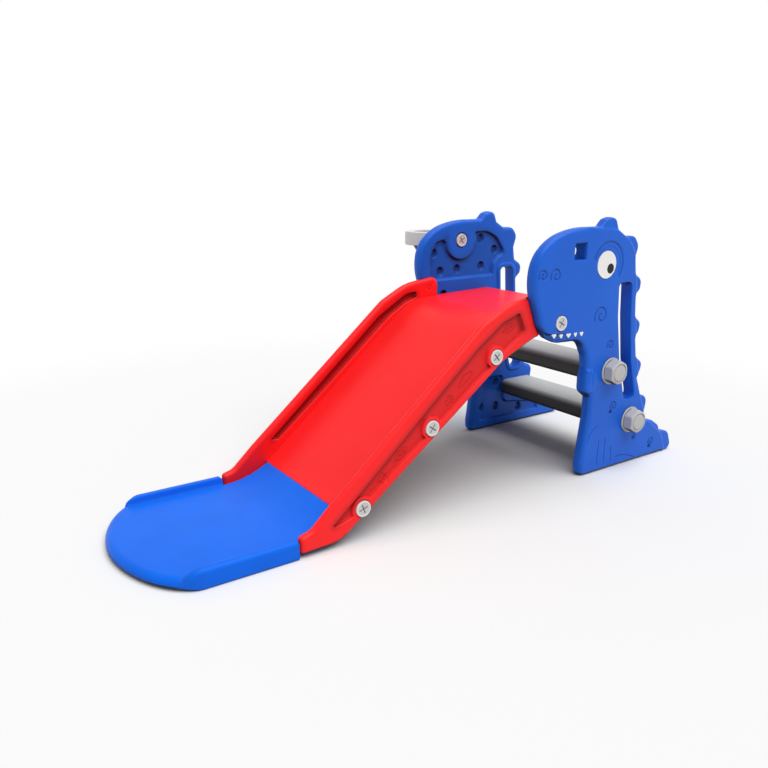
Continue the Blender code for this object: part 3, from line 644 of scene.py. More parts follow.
class Nodes:
    """A node tree, and a short way to add, set and join its nodes."""

    def __init__(self, tree):
        self.tree = tree

    def add(self, kind, values=None, **settings):
        """A node with its settings, and with what its inputs take."""
        node = self.tree.nodes.new(kind)
        for name, value in settings.items():
            setattr(node, name, value)
        return self.feed(node, values or {})

    def feed(self, node, values):
        """Sets each input to a constant, or links it to an output or to a node's first output."""
        for name, value in values.items():
            if isinstance(value, bpy.types.Node):
                value = value.outputs[0]
            if isinstance(value, bpy.types.NodeSocket):
                self.tree.links.new(value, node.inputs[name])
            else:
                node.inputs[name].default_value = value
        return node

    def math(self, operation, first, second):
        return self.add("ShaderNodeMath", {0: first, 1: second}, operation=operation)

    def bump(self, height, strength, depth, **below):
        return self.add("ShaderNodeBump", {
            "Height": height, "Strength": strength, "Distance": depth, **below,
        })

    def mapped(self, value, low, high, start=0.0, end=1.0, curve="LINEAR"):
        """The value carried from start and end to low and high."""
        return self.add("ShaderNodeMapRange", {
            "Value": value, "From Min": start, "From Max": end, "To Min": low, "To Max": high,
        }, interpolation_type=curve)

    def noise(self, scale, detail=2.0):
        place = self.add("ShaderNodeTexCoord").outputs["Object"]
        return self.add("ShaderNodeTexNoise", {"Vector": place, "Scale": scale, "Detail": detail})

    def ramp(self, value, colours, ends=(0.0, 1.0)):
        node = self.add("ShaderNodeValToRGB", {"Fac": value})
        for element, colour, position in zip(node.color_ramp.elements, colours, ends):
            element.position = position
            element.color = (*colour, 1)
        return node

    def facing_up(self):
        """How far the surface looks up, from -1 to 1."""
        normal = self.add("ShaderNodeNewGeometry").outputs["Normal"]
        return self.add("ShaderNodeSeparateXYZ", {0: normal}).outputs["Z"]


def new_material(name):
    """A material, its nodes and its shader."""
    material = bpy.data.materials.new(name)
    material.use_nodes = True
    return material, Nodes(material.node_tree), material.node_tree.nodes["Principled BSDF"]


def plastic(name, colour, roughness=0.36, grain=0.35, mottle=0.05, specular=0.2, tops=None, pocket_shade=0.5):
    """Moulded plastic: mottled colour, fine pebbled grain and faint flow marks, with painted shade in pockets
    and on undersides.
    """
    material, nodes, shader = new_material(name)
    shades = [[min(1, c * (1 + sign * mottle)) for c in colour] for sign in (-1, 1)]
    base = nodes.ramp(nodes.noise(9.0, 4.0), shades, (0.3, 0.7))
    # tops paints light: a lighter colour on faces that look up.
    if tops:
        base = lit_tops(nodes, base, tops)
    # Painted shade: darker in pockets and on faces that look down.
    kept = painted_shade_factor(nodes, pocket_shade)
    base = nodes.add("ShaderNodeVectorMath", {0: base, "Scale": kept}, operation="SCALE")
    flow = nodes.noise(26.0, 3.0)
    pebbled = nodes.bump(nodes.noise(620.0), grain, 0.08 * MM)
    nodes.feed(shader, {
        "Specular IOR Level": specular, "Base Color": base,
        "Normal": nodes.bump(flow, 0.25, 1.2 * MM, Normal=pebbled),
        "Roughness": nodes.mapped(flow, roughness - 0.05, roughness + 0.07),
    })
    return material


def painted_shade_factor(nodes, pocket_shade):
    """How much of the colour is kept: painted shade in moulded pockets, grooves and dimples, and painted
    shade on undersides.
    """
    sunk = nodes.add("ShaderNodeAttribute", attribute_name="sunk").outputs["Fac"]
    # Painted shade in pockets, grooves and dimples, from the sunk attribute.
    pocket = nodes.mapped(sunk, 1.0, pocket_shade)
    # Painted shade on faces that look down.
    under = nodes.mapped(nodes.facing_up(), 0.12, 1.0, -0.72, -0.2, "SMOOTHSTEP")
    return nodes.math("MULTIPLY", pocket, under)


def lit_tops(nodes, base, tops):
    """Mixes in a lighter colour on faces that look up: painted light on the tops."""
    share = nodes.mapped(nodes.facing_up(), 0.0, 1.0, 0.15, 1.0, "SMOOTHSTEP")
    mix = nodes.add("ShaderNodeMix", data_type="RGBA")
    nodes.feed(mix, {"Factor": share, 6: base, 7: (*tops, 1)})
    return mix.outputs[2]


def metal(name, colour, roughness):
    """Zinc-plated steel with fine turning marks."""
    material, nodes, shader = new_material(name)
    marks = nodes.noise(240.0)
    nodes.feed(shader, {
        "Metallic": 1.0, "Base Color": nodes.ramp(marks, ([0.8 * c for c in colour], colour)),
        "Roughness": nodes.mapped(marks, roughness - 0.1, roughness + 0.1),
    })
    return material


def finish_piece(obj, material, slot, body, *nodes):
    obj.data.materials.clear()
    obj.data.materials.append(material)
    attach(obj, body)
    if nodes:
        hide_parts(*nodes)
    return obj


def settings():
    return bpy.context.scene.slide_settings


def cached(name, *finish, **details):
    """The named plastic, made the first time that it is asked for."""
    return bpy.data.materials.get(name) or plastic(name, *finish, **details)


def blue():
    return cached("blue_moulded_plastic", settings().panel_colour)


def runout_blue():
    return cached("bright_blue_moulded_plastic", settings().runout_colour, specular=0.1)


def red():
    return cached("red_moulded_plastic", settings().chute_colour, pocket_shade=0.3)


def pale(name="pale_grey_plastic", gain=1.0):
    return cached(name, [gain * c for c in settings().fitting_colour], 0.42, mottle=0.03, pocket_shade=0.3)


def white():
    return cached("white_inlay_plastic", (0.86, 0.84, 0.83), 0.3, mottle=0.01)


def step_plastic():
    # The tops colour is painted light on the treads' faces that look up.
    return cached("grey_step_plastic", (0.064, 0.067, 0.065), 0.5, tops=(0.45, 0.455, 0.455))


# Side panels

PANEL_EDGE = 12.5 * MM
SPIKE_EDGE = 6.5 * MM
SEAT_RADIUS = 20.8 * MM
SEAT_DEPTH = 4 * MM


def panel_reliefs(side):
    """The carving on a panel's outer face."""
    jaw, hand, body = rounded(JAW_CORNERS), rounded(HAND_CORNERS), rounded(BODY_CORNERS)
    reliefs = [
        Terrace(body, 0.0, settings().spike_setback, 9 * MM),
        Pocket(jaw, 7 * MM, 6 * MM, taper=(-150 * MM, 0 * MM)),
        Pocket(hand, -5 * MM, 8 * MM),
        Groove(arc(EYE[0] + 7 * MM, EYE[1] + 2 * MM, 56 * MM, 165, -38), 5 * MM, 2.4 * MM, 1.6),
        Groove(arc(EYE[0] + 4 * MM, EYE[1] + 1 * MM, 46 * MM, 150, -30), 4 * MM, 1.2 * MM, 1.2),
        Pocket(circle(*EYE, EYE_RADIUS), 1.8 * MM, 1.4 * MM),
        Pocket(circle(*PANEL_SCREW, SEAT_RADIUS), SEAT_DEPTH, 1.2 * MM, shade=1.5),
    ]
    for x, z, radius in SPIRALS:
        reliefs.append(Groove(spiral(x * MM, z * MM, radius * MM), 2.8 * MM, 2.6 * MM))
    for x, z, radius in DROPS:
        reliefs.append(Pocket(circle(x * MM, z * MM, radius * MM, 20), 9 * MM, 3 * MM, shade=1.2))
    for crease in CREASES:
        reliefs.append(Groove(curve_through(crease), 2.4 * MM, 2 * MM))
    if side < 0:
        reliefs.append(Pocket(box_outline(*SOCKET, *SOCKET_SIZE), SOCKET_DEPTH, 2 * MM))
    return reliefs


def inner_reliefs(side, slot):
    """The head pocket with its boss, the rim round the slot, the foot pocket and the tack-off dimples."""
    boss = circle(*SOCKET, SOCKET_BOSS_RADIUS)
    steps = [box_outline(x, z, 142 * MM, 58 * MM) for x, z in STEP_AXES.values()]
    reliefs = [
        Pocket(rounded(FACE_POCKET_CORNERS), 9 * MM, 8 * MM, islands=(boss,)),
        Pocket(rounded(FOOT_POCKET_CORNERS), 8 * MM, 8 * MM),
        Pocket(grown(resampled(slot, 3 * MM), 16 * MM), -4 * MM, 8 * MM, islands=steps, fades=False),
    ]
    # Painted shade along the head pocket's upper edges and round the boss.
    reliefs += [gathered_shade(curve_through(line)) for line in FACE_POCKET_SHADES]
    reliefs.append(gathered_shade(arc(*SOCKET, SOCKET_BOSS_RADIUS + 4 * MM, 170, 345)))
    for x, z in INNER_DIMPLES:
        reliefs.append(Pocket(circle(x * MM, z * MM, DIMPLE_RADIUS, 24), 9 * MM, 9 * MM, shade=1.0))
    if side < 0:
        reliefs.append(Pocket(circle(*SOCKET, SOCKET_DIMPLE_RADIUS), 10 * MM, 3 * MM))
    else:
        reliefs.append(Pocket(circle(*SOCKET, BOLT_SEAT_RADIUS), 3.9 * MM, 1.2 * MM, shade=1.8))
    return reliefs


def make_panel(side, prefix):
    half = (PANEL_OUT - PANEL_IN) / 2
    middle = PANEL_IN + half
    slot = rounded(SLOT_CORNERS)
    holes = [slot, *[circle(x, z, BORE_RADIUS, 40) for x, z in STEP_AXES.values()]]
    if side < 0:
        holes.append(circle(*SOCKET, SOCKET_HOLE_RADIUS, 24))
    body = rounded(BODY_CORNERS)

    def edge_at(flat):
        return SPIKE_EDGE + (PANEL_EDGE - SPIKE_EDGE) * smooth(-signed(flat, body) / (10 * MM))

    front = Face(half, PANEL_EDGE, panel_reliefs(side), hole_edge=3 * MM, edge_at=edge_at)
    back = Face(half, PANEL_EDGE, inner_reliefs(side, slot), hole_edge=2 * MM)
    outline, name = rounded(PANEL_CORNERS), f"{prefix}_moulded_panel"
    panel = plate(name, outline, holes, front, back, upright(side, middle))
    return finish_piece(panel, blue(), "blue_panel", ROOT, f"{prefix}_side_panel")


LEAF = (
    ((-22, 0), (-8, 9), (8, 9), (22, 0), (8, -9), (-8, -9), (-22, 0)), ((-28, 0), (0, 0), (16, 0)),
    ((-6, 0), (0, 5)), ((-6, 0), (0, -5)), ((4, 0), (10, 4)), ((4, 0), (10, -4)),
)
CLOUD = (
    (
        (-20, -6), (-26, 0), (-18, 7), (-8, 6), (-3, 12), (8, 11), (12, 5), (22, 5), (24, -4), (16, -7),
        (-20, -6),
    ),
)
FOOTPRINT = (
    (
        (-14, 0), (-10, 7), (-1, 4), (4, 13), (9, 4), (4, 0), (15, 0), (4, -1), (9, -6), (3, -12), (-1, -4),
        (-10, -7), (-14, 0),
    ),
)
MOTIFS = ((-236, -4, LEAF), (-372, -8, CLOUD), (-420, -12, FOOTPRINT), (-560, 0, LEAF), (-612, -2, FOOTPRINT))
TOOTH_SHAPE = (
    (-0.5, 0.22), (-0.43, 0.44), (-0.22, 0.5), (0.0, 0.36), (0.22, 0.5), (0.43, 0.44), (0.5, 0.22),
    (0.16, -0.36), (0.0, -0.5), (-0.16, -0.36),
)
TEETH = ((-108, 415, 16), (-82, 412, 12), (-55, 411, 17), (-29, 410.5, 12), (-6, 410, 14))
TOOTH_HEIGHT = 12.5 * MM


def make_teeth():
    """Five small heart-shaped teeth along each jaw."""
    for number, (x, z, width) in enumerate(TEETH, 1):
        outline = np.array(TOOTH_SHAPE) * (width * MM, TOOTH_HEIGHT) + (x * MM, z * MM)
        tooth = plate(
            f"left_heart_tooth_{number}", resampled(outline, 0.8 * MM), [], Face(0.6 * MM, 0.8 * MM),
            Face(5 * MM, 0.3 * MM), upright(-1, PANEL_OUT), coarse=2 * MM, rim_step=0.9 * MM, ridge=0.0,
        )
        finish_pair(tooth, white(), "white_inlay", f"heart_tooth_{number}", f"tooth_{number}")


def finish_pair(left, material, slot, name, node):
    """Finishes a left piece and its mirror image, each in place of its own node."""
    right = mirrored(left, f"right_{name}")
    for prefix, obj in (("left", left), ("right", right)):
        finish_piece(obj, material, slot, ROOT, f"{prefix}_{node}")


# Rails

RAIL_EDGE = 11 * MM
BOSS_RADIUS = 27 * MM
CURL_STATION = -158 * MM


def gathered_shade(path):
    """A hair-deep hollow with a strong shade weight: painted shade along the edge of a pocket."""
    return Groove(path, 20 * MM, 0.3 * MM, 15.0)


def top_edge(loop):
    """The upper side of an anticlockwise outline, a little inside it."""
    ring = grown(resampled(loop, 3 * MM), -4 * MM)
    return ring[(np.roll(ring, -1, axis=0) - ring)[:, 0] < 0]


def motif_grooves():
    """A leaf, a cloud and a three-toed print, engraved along the flank pocket."""
    grooves = []
    for station, height, lines in MOTIFS:
        x, z = station * MM, float(surface_z(station * MM)) + height * MM
        tilt = math.atan(CHUTE_SLOPE) if station < -300 else 0.4
        turn = np.array([(math.cos(tilt), math.sin(tilt)), (-math.sin(tilt), math.cos(tilt))])
        for line in lines:
            path = curve_through(line) @ turn + (x, z)
            grooves.append(Groove(path, 1.8 * MM, 1.6 * MM, 1.7))
    return grooves


def make_rails():
    half = (RAIL_OUT - RAIL_IN) / 2
    middle = RAIL_IN + half
    head = grown(resampled(rounded(HEAD_FRONT_CORNERS), 4 * MM), 1 * MM)
    behind_head = half - (PANEL_IN - 0.5 * MM - middle)
    screws = [(x * MM, float(surface_z(x * MM)) + z * MM) for x, z in RAIL_SCREWS]
    bosses = [circle(x, z, BOSS_RADIUS) for x, z in screws]
    pocket = rounded(above_chute(FLANK_POCKET_CORNERS))
    hollow = rounded(above_chute(INNER_RECESS_CORNERS))
    flank = [
        Terrace(head, behind_head, 0.0, 2 * MM),
        Pocket(pocket, 9 * MM, 4 * MM, islands=bosses, shade=0.32),
        # Painted shade along the pocket's upper edge.
        gathered_shade(top_edge(pocket)),
    ]
    flank += [Pocket(circle(x, z, SEAT_RADIUS), SEAT_DEPTH, 1.2 * MM, shade=0.9) for x, z in screws]
    flank += motif_grooves()
    curl = spiral(CURL_STATION, float(surface_z(CURL_STATION)) + 26 * MM, 11 * MM)
    recess = [
        Pocket(hollow, 10 * MM, 4 * MM, shade=0.6),
        # Painted shade along the recess's upper edge.
        gathered_shade(top_edge(hollow)),
        Groove(curl, 2 * MM, 1.8 * MM, 1.7),
    ]
    outline = rounded(above_chute(RAIL_TOP_CORNERS + RAIL_BOTTOM_CORNERS))

    def flank_edge(flat):
        return np.where(inside(flat, head), 3 * MM, RAIL_EDGE)

    front, back = Face(half, RAIL_EDGE, flank, edge_at=flank_edge), Face(half, RAIL_EDGE, recess)
    rail = plate("left_moulded_rail", outline, [], front, back, upright(-1, middle))
    finish_pair(rail, red(), "red_chute", "moulded_rail", "rail")


# Boards

def on_slope(s, y, w):
    x, z = along_line(s, w)
    return np.column_stack([x - ORIGIN_STATION, y, np.maximum(z, 0)])


BOARD_DEPTH = 42 * MM
SKIN_DEPTH = 2.6 * MM
WING_DEPTH = 14 * MM
WING_END_X = -122 * MM


def make_chute():
    """The red board: platform, brow and slope, with wings under the panels."""
    end = float(line_at_station(SEAM_X)) / MM
    wing_end = float(line_at_station(WING_END_X)) / MM
    inner, outer = BOARD_HALF / MM, WING_HALF / MM
    near = ((0, -outer, 3), (wing_end, -outer, 3), (wing_end, -inner, 1), (end, -inner, 1))
    outline = rounded(near + tuple((s, -y, radius) for s, y, radius in reversed(near)), 3)
    lap = float(line_at_station(SEAM_X + LAP_LENGTH))

    def underside(flat):
        s, y = flat.T
        depth = np.where(s > lap, SKIN_DEPTH, BOARD_DEPTH)
        return np.where(np.abs(y) > BOARD_HALF, WING_DEPTH, depth)

    top, bottom = Face(0.0, 2.5 * MM), Face(BOARD_DEPTH, 2.5 * MM, shape=underside)
    board = plate(
        "moulded_chute", outline, [], top, bottom, on_slope, coarse=8 * MM, rim_step=4 * MM, ridge=0.0,
    )
    return finish_piece(board, red(), "red_chute", ROOT, "chute_board")


def runout_outline():
    """Plan of the run-out: tongue between the rails, sides with lips, and the round nose."""
    tongue = float(line_at_station(SEAM_X + LAP_LENGTH))
    wide = float(line_at_station(RUNOUT_START_X))
    nose = float(line_at_station(NOSE_START_X))
    right = [
        (tongue, BOARD_HALF), (wide - 2 * MM, BOARD_HALF), (wide, BOARD_HALF + 2 * MM),
        (wide, RUNOUT_HALF - 3 * MM), (wide + 3 * MM, RUNOUT_HALF),
    ]
    for angle in np.linspace(0, math.pi / 2, 40)[:-1]:
        right.append((
            nose + NOSE_LENGTH * math.sin(angle) ** (2 / NOSE_ROUNDNESS),
            RUNOUT_HALF * math.cos(angle) ** (2 / NOSE_ROUNDNESS),
        ))
    left = [(s, -y) for s, y in reversed(right)]
    return np.array(right + [(nose + NOSE_LENGTH, 0.0)] + left)


def make_runout():
    outline = runout_outline()
    lap = float(line_at_station(SEAM_X))
    wide = float(line_at_station(RUNOUT_START_X))
    nose = float(line_at_station(NOSE_START_X))
    inner, beyond = RUNOUT_HALF - LIP_WIDTH, RUNOUT_HALF + 60 * MM
    start, tip = wide - 60 * MM, nose + LIP_FADE
    corners = ((start, inner, 0), (tip, inner, 34), (tip, beyond, 0), (start, beyond, 0))
    bar = rounded([(u / MM, v / MM, radius) for u, v, radius in corners])
    base = np.array([(wide, inner - 1 * MM), (tip - 20 * MM, inner - 1 * MM), (tip - 5 * MM, inner + 7 * MM)])
    rise, taper = settings().lip_rise, (nose - 4 * MM, nose + 1.4 * LIP_FADE)
    lips = [Pocket(bar * (1, side), -rise, 6 * MM, fades=False, taper=taper) for side in (-1, 1)]
    # Shallow grooves with painted shade along the lips' inner foot.
    lips += [Groove(base * (1, side), 6 * MM, 1.2 * MM, 3.0) for side in (-1, 1)]

    def upper(flat):
        return np.where(flat[:, 0] < lap, -LAP_DROP, 0.0)

    def edge_at(flat):
        return (11 + 6 * smooth((flat[:, 0] - nose) / (60 * MM))) * MM

    def under(flat):
        lapped = smooth((wide - flat[:, 0]) / (60 * MM))
        return RUNOUT_THICKNESS + (7 * lapped - 4 * smooth((flat[:, 0] - nose) / (70 * MM))) * MM

    def under_edge(flat):
        return (4 + 6 * smooth((flat[:, 0] - nose) / (50 * MM))) * MM

    top = Face(0.0, 17 * MM, lips, upper, edge_at=edge_at)
    bottom = Face(0.0, 10 * MM, shape=under, edge_at=under_edge)
    board = plate(
        "moulded_runout", outline, [], top, bottom, on_slope, coarse=5 * MM, fine=2 * MM, rim_step=3 * MM,
        ridge=0.0,
    )
    return finish_piece(board, runout_blue(), "blue_runout", ROOT, "runout_board")


# Nuts and washers

NUT_SIDES = 96
FLAT_RADIUS = 31 * MM


def ring_stack(name, rings, place, side):
    """A turned shape, open at its bore: each ring has a height and a radius, or a radius for each angle."""
    angles = np.arange(NUT_SIDES) * 2 * math.pi / NUT_SIDES
    points, faces = [], []
    for height, radius in rings:
        x, z = radius * np.cos(angles), radius * np.sin(angles)
        points.append(np.column_stack([x, np.full(NUT_SIDES, height), z]))
    for first in range(0, (len(rings) - 1) * NUT_SIDES, NUT_SIDES):
        for i in range(NUT_SIDES):
            j = (i + 1) % NUT_SIDES
            faces.append((first + i, first + j, first + NUT_SIDES + j, first + NUT_SIDES + i))
    return mesh_object(name, np.vstack(points) * (1, side, 1) + place, faces, crease=SHARP_ANGLE)


def on_stub(side, prefix, label, kind, name, rings_between):
    """A turned piece on the end of a step, with the rings that suit its box."""
    node = f"{prefix}_{label}_{kind}"
    low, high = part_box(node)
    x, z = STEP_AXES[label]
    place = (x - ORIGIN_STATION, low.y if side > 0 else high.y, z)
    piece = ring_stack(f"{prefix}_{label}_{name}", rings_between(low, high), place, side)
    return finish_piece(piece, pale(), "pale_grey", node, node)


def hex_radius(flat_radius):
    """The radius of a hexagon with corners up and down, at each angle."""
    angles = np.arange(NUT_SIDES) * 2 * math.pi / NUT_SIDES
    step = math.pi / 3
    from_flat = (angles + step / 2) % step - step / 2
    return np.minimum(flat_radius / np.cos(from_flat), 1.12 * flat_radius)


def nut_rings(low, high):
    """A hexagonal cap nut with a coned crown round a sunk round face."""
    height = high.y - low.y - 2.5 * MM
    hexagon = hex_radius(FLAT_RADIUS)
    rings = [
        (0.0, BORE_RADIUS), (0.0, FLAT_RADIUS - 1 * MM), (1.5 * MM, hexagon), (height - 6.5 * MM, hexagon),
    ]
    for share in (0.25, 0.5, 0.75, 1.0):
        cone = (35.5 - 9.5 * share ** 1.5) * MM
        rings.append((height - 6.5 * MM * (1 - share) ** 1.4, np.minimum(hexagon, cone)))
    crown = (
        (0, 25.6), (0.6, 25.0), (2.2, 24.6), (2.2, 23.2), (0.6, 22.7), (0.1, 21.6), (0.1, 12), (0.1, 0.01),
        (5, 0.01),
    )
    rings += [(height - drop * MM, radius * MM) for drop, radius in crown]
    return rings + [(height - 5 * MM, BORE_RADIUS)]


def washer_rings(low, high):
    """A flange washer with a rolled rim."""
    thick = high.y - low.y
    outer = (high.x - low.x) / 2
    rings = [(0.0, BORE_RADIUS), (0.0, outer - 1.5 * MM)]
    for angle in np.radians(np.linspace(-60, 90, 6)):
        rings.append((thick * (0.5 + 0.5 * math.sin(angle)), outer - 1.8 * MM * (1 - math.cos(angle))))
    rings += [(thick, outer - 5 * MM), (thick - 0.6 * MM, outer - 6.5 * MM), (thick - 0.6 * MM, BORE_RADIUS)]
    return rings


# Hoop

HOOP_RADIUS = 89 * MM
HOOP_INNER_RADIUS = 62 * MM
HOOP_ARM_HALF = 30 * MM


def make_hoop():
    """The toy ball hoop: a flat ring with raised rims, on the arm that meets the panel."""
    low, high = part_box("hoop_ring")
    middle_x, middle_y = (low.x + high.x) / 2 + ORIGIN_STATION, high.y - HOOP_RADIUS
    half = (high.z - low.z) / 2
    spread = math.degrees(math.asin(HOOP_ARM_HALF / HOOP_RADIUS))
    outline = np.vstack([
        arc(middle_x, middle_y, HOOP_RADIUS, spread - 90, 270 - spread, 120),
        [(middle_x - HOOP_ARM_HALF, low.y), (middle_x + HOOP_ARM_HALF, low.y)],
    ])
    hole = circle(middle_x, middle_y, HOOP_INNER_RADIUS, 96)
    track = Pocket(
        circle(middle_x, middle_y, HOOP_RADIUS - 4 * MM, 96), 1.6 * MM, 2 * MM,
        islands=(circle(middle_x, middle_y, HOOP_INNER_RADIUS + 4 * MM, 96),),
    )

    def place(u, v, w):
        return np.column_stack([u - ORIGIN_STATION, v, (low.z + high.z) / 2 + w])

    hoop = plate(
        "moulded_hoop", outline, [hole], Face(half, 2.5 * MM, (track,)), Face(half, 2.5 * MM), place,
        coarse=7 * MM, fine=1.6 * MM,
    )
    return finish_piece(hoop, pale("hoop_grey_plastic", 1.42), "pale_grey", ROOT, "hoop_ring")


# Geometry Nodes

class Group(Nodes):
    """A Geometry Nodes group with named inputs."""

    def __init__(self, name, inputs):
        super().__init__(bpy.data.node_groups.new(name, "GeometryNodeTree"))
        for label, kind in {"Geometry": "Geometry", **inputs}.items():
            self.tree.interface.new_socket(label, in_out="INPUT", socket_type=f"NodeSocket{kind}")
        self.tree.interface.new_socket("Geometry", in_out="OUTPUT", socket_type="NodeSocketGeometry")
        self.given = self.add("NodeGroupInput").outputs

    def along(self, distance):
        return self.add("ShaderNodeCombineXYZ", {"Z": distance})

    def swept(self, curve, profile):
        return self.add("GeometryNodeCurveToMesh", {
            "Curve": curve, "Profile Curve": profile, "Fill Caps": True,
        })

    def moved(self, geometry, **values):
        return self.add("GeometryNodeTransform", {"Geometry": geometry, **values})

    def joined(self, pieces):
        node = self.add("GeometryNodeJoinGeometry")
        for piece in pieces:
            self.feed(node, {0: piece})
        return node

    def finish(self, pieces, material):
        """Joins the pieces, realises instances and sets the material."""
        real = self.add("GeometryNodeRealizeInstances", {"Geometry": self.joined(pieces)})
        coated = self.add("GeometryNodeSetMaterial", {"Geometry": real, "Material": material})
        self.add("NodeGroupOutput", {0: coated})

    def evaluate(self, obj, values):
        """Runs the group on the object with its inputs set, and leaves the plain mesh result."""
        modifier = obj.modifiers.new(self.tree.name, "NODES")
        modifier.node_group = self.tree
        for item in self.tree.interface.items_tree:
            if item.name in values:
                modifier[item.identifier] = values[item.name]
        graph = bpy.context.evaluated_depsgraph_get()
        mesh = bpy.data.meshes.new_from_object(obj.evaluated_get(graph))
        obj.modifiers.remove(modifier)
        obj.data = mesh
        mesh.set_sharp_from_angle(angle=math.radians(SHARP_ANGLE))
        return obj


def empty_object(name, points=()):
    mesh = bpy.data.meshes.new(name)
    mesh.from_pydata([tuple(point) for point in points], [], [])
    return linked(name, mesh)


def step_group():
    """A boxed tread on round stubs whose ends carry a coarse thread."""
    sizes = ("Depth", "Thickness", "Edge", "Length", "Stub Radius", "Reach", "Thread Pitch", "Thread Turns")
    inputs = {**dict.fromkeys(sizes, "Float"), "Middle": "Vector", "Material": "Material"}
    group = Group("tread_on_stubs", inputs)
    given = group.given
    section = group.add(
        "GeometryNodeCurvePrimitiveQuadrilateral", {"Width": given["Depth"], "Height": given["Thickness"]},
    )
    rounding = {"Curve": section, "Count": 7, "Radius": given["Edge"]}
    soft = group.add("GeometryNodeFilletCurve", rounding, mode="POLY")
    half = group.math("MULTIPLY", given["Length"], 0.5)
    line = group.add("GeometryNodeCurvePrimitiveLine", {
        "Start": group.along(group.math("MULTIPLY", half, -1.0)), "End": group.along(half),
    })
    box = group.add("GeometryNodeSetShadeSmooth", {"Geometry": group.swept(line, soft)})
    stub = group.add("GeometryNodeMeshCylinder", {
        "Vertices": 48, "Radius": given["Stub Radius"], "Depth": group.math("MULTIPLY", given["Reach"], 2.0),
    })
    rise = group.math("MULTIPLY", given["Thread Pitch"], given["Thread Turns"])
    helix = group.add("GeometryNodeCurveSpiral", {
        "Resolution": 40, "Rotations": given["Thread Turns"], "Start Radius": given["Stub Radius"],
        "End Radius": given["Stub Radius"], "Height": rise,
    })
    wire = group.add("GeometryNodeCurvePrimitiveCircle", {"Resolution": 8, "Radius": 0.4 * MM})
    start = group.math("SUBTRACT", group.math("SUBTRACT", given["Reach"], rise), 1.5 * MM)
    thread = group.moved(group.swept(helix, wire), Translation=group.along(start))
    other = group.moved(thread, Rotation=(math.pi, 0, 0))
    whole = group.joined([box, stub, thread, other])
    laid = group.moved(whole, Rotation=(-math.pi / 2, 0, 0), Translation=given["Middle"])
    group.finish([laid], given["Material"])
    return group


STUB_RADIUS = 22.5 * MM
THREAD_TURNS = 3.0


def make_steps():
    """Both treads, from one Geometry Nodes group."""
    group = step_group()
    material = step_plastic()
    for label, (x, z) in STEP_AXES.items():
        low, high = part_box(f"{label}_step")
        step = group.evaluate(empty_object(f"{label}_tread"), {
            "Depth": high.x - low.x, "Thickness": high.z - low.z, "Edge": settings().step_edge,
            "Length": 2 * WING_HALF, "Stub Radius": STUB_RADIUS, "Reach": high.y,
            "Thread Pitch": settings().thread_pitch, "Thread Turns": THREAD_TURNS,
            "Middle": (x - ORIGIN_STATION, 0.0, z), "Material": material,
        })
        finish_piece(step, material, "grey_step", ROOT, f"{label}_step")


HEAD_RADIUS = 19.5 * MM
SHANK_RADIUS = 3.5 * MM


def screw_head():
    """A cross-slotted head whose top lies at y = 0, facing +Y."""
    arm, half = 11.5 * MM, 1.5 * MM
    corner = [(half, half), (half, arm), (-half, arm)]
    turns = [-quarter * math.pi / 2 for quarter in range(4)]
    cross = np.array([turned(Vector(point), turn) for turn in turns for point in corner])
    # The slot and the dish carry painted shade; the small full_shade turns the slot fully dark.
    slot = Pocket(cross, 2.6 * MM, 0.9 * MM, shade=1.0)
    dish = Pocket(circle(0, 0, 15.5 * MM), 0.7 * MM, 1.5 * MM, shade=0.8)
    top, bottom = Face(0.0, 1.6 * MM, (dish, slot), full_shade=2 * MM), Face(5.5 * MM, 0.4 * MM)
    return plate(
        "screw_head", circle(0, 0, HEAD_RADIUS), [], top, bottom, lambda u, v, w: np.column_stack([u, w, v]),
        coarse=3 * MM, fine=0.7 * MM, rim_step=2 * MM, ridge=0.0,
    )


def screw_group():
    """Capped screws: a head and a shank at each point, turned and as long as the point says."""
    group = Group("capped_screws", {"Head": "Object", "Shank Radius": "Float", "Material": "Material"})
    given = group.given
    pose = group.add("GeometryNodeInputNamedAttribute", {"Name": "pose"}, data_type="FLOAT_VECTOR")
    length = group.add("GeometryNodeInputNamedAttribute", {"Name": "shank"}, data_type="FLOAT")
    turn = group.add("FunctionNodeEulerToRotation", {"Euler": pose})
    head = group.add("GeometryNodeObjectInfo", {"Object": given["Head"]}).outputs["Geometry"]
    pin = group.add("GeometryNodeMeshCylinder", {
        "Vertices": 16, "Radius": given["Shank Radius"], "Depth": 0.8,
    })
    laid = group.moved(pin, Rotation=(math.pi / 2, 0, 0), Translation=(0, -0.6, 0))
    scale = group.add("ShaderNodeCombineXYZ", {"X": 1.0, "Y": length, "Z": 1.0})
    placed = {"Points": given["Geometry"], "Rotation": turn}
    heads = group.add("GeometryNodeInstanceOnPoints", {**placed, "Instance": head})
    shanks = group.add("GeometryNodeInstanceOnPoints", {**placed, "Instance": laid, "Scale": scale})
    group.finish([heads, shanks], given["Material"])
    return group


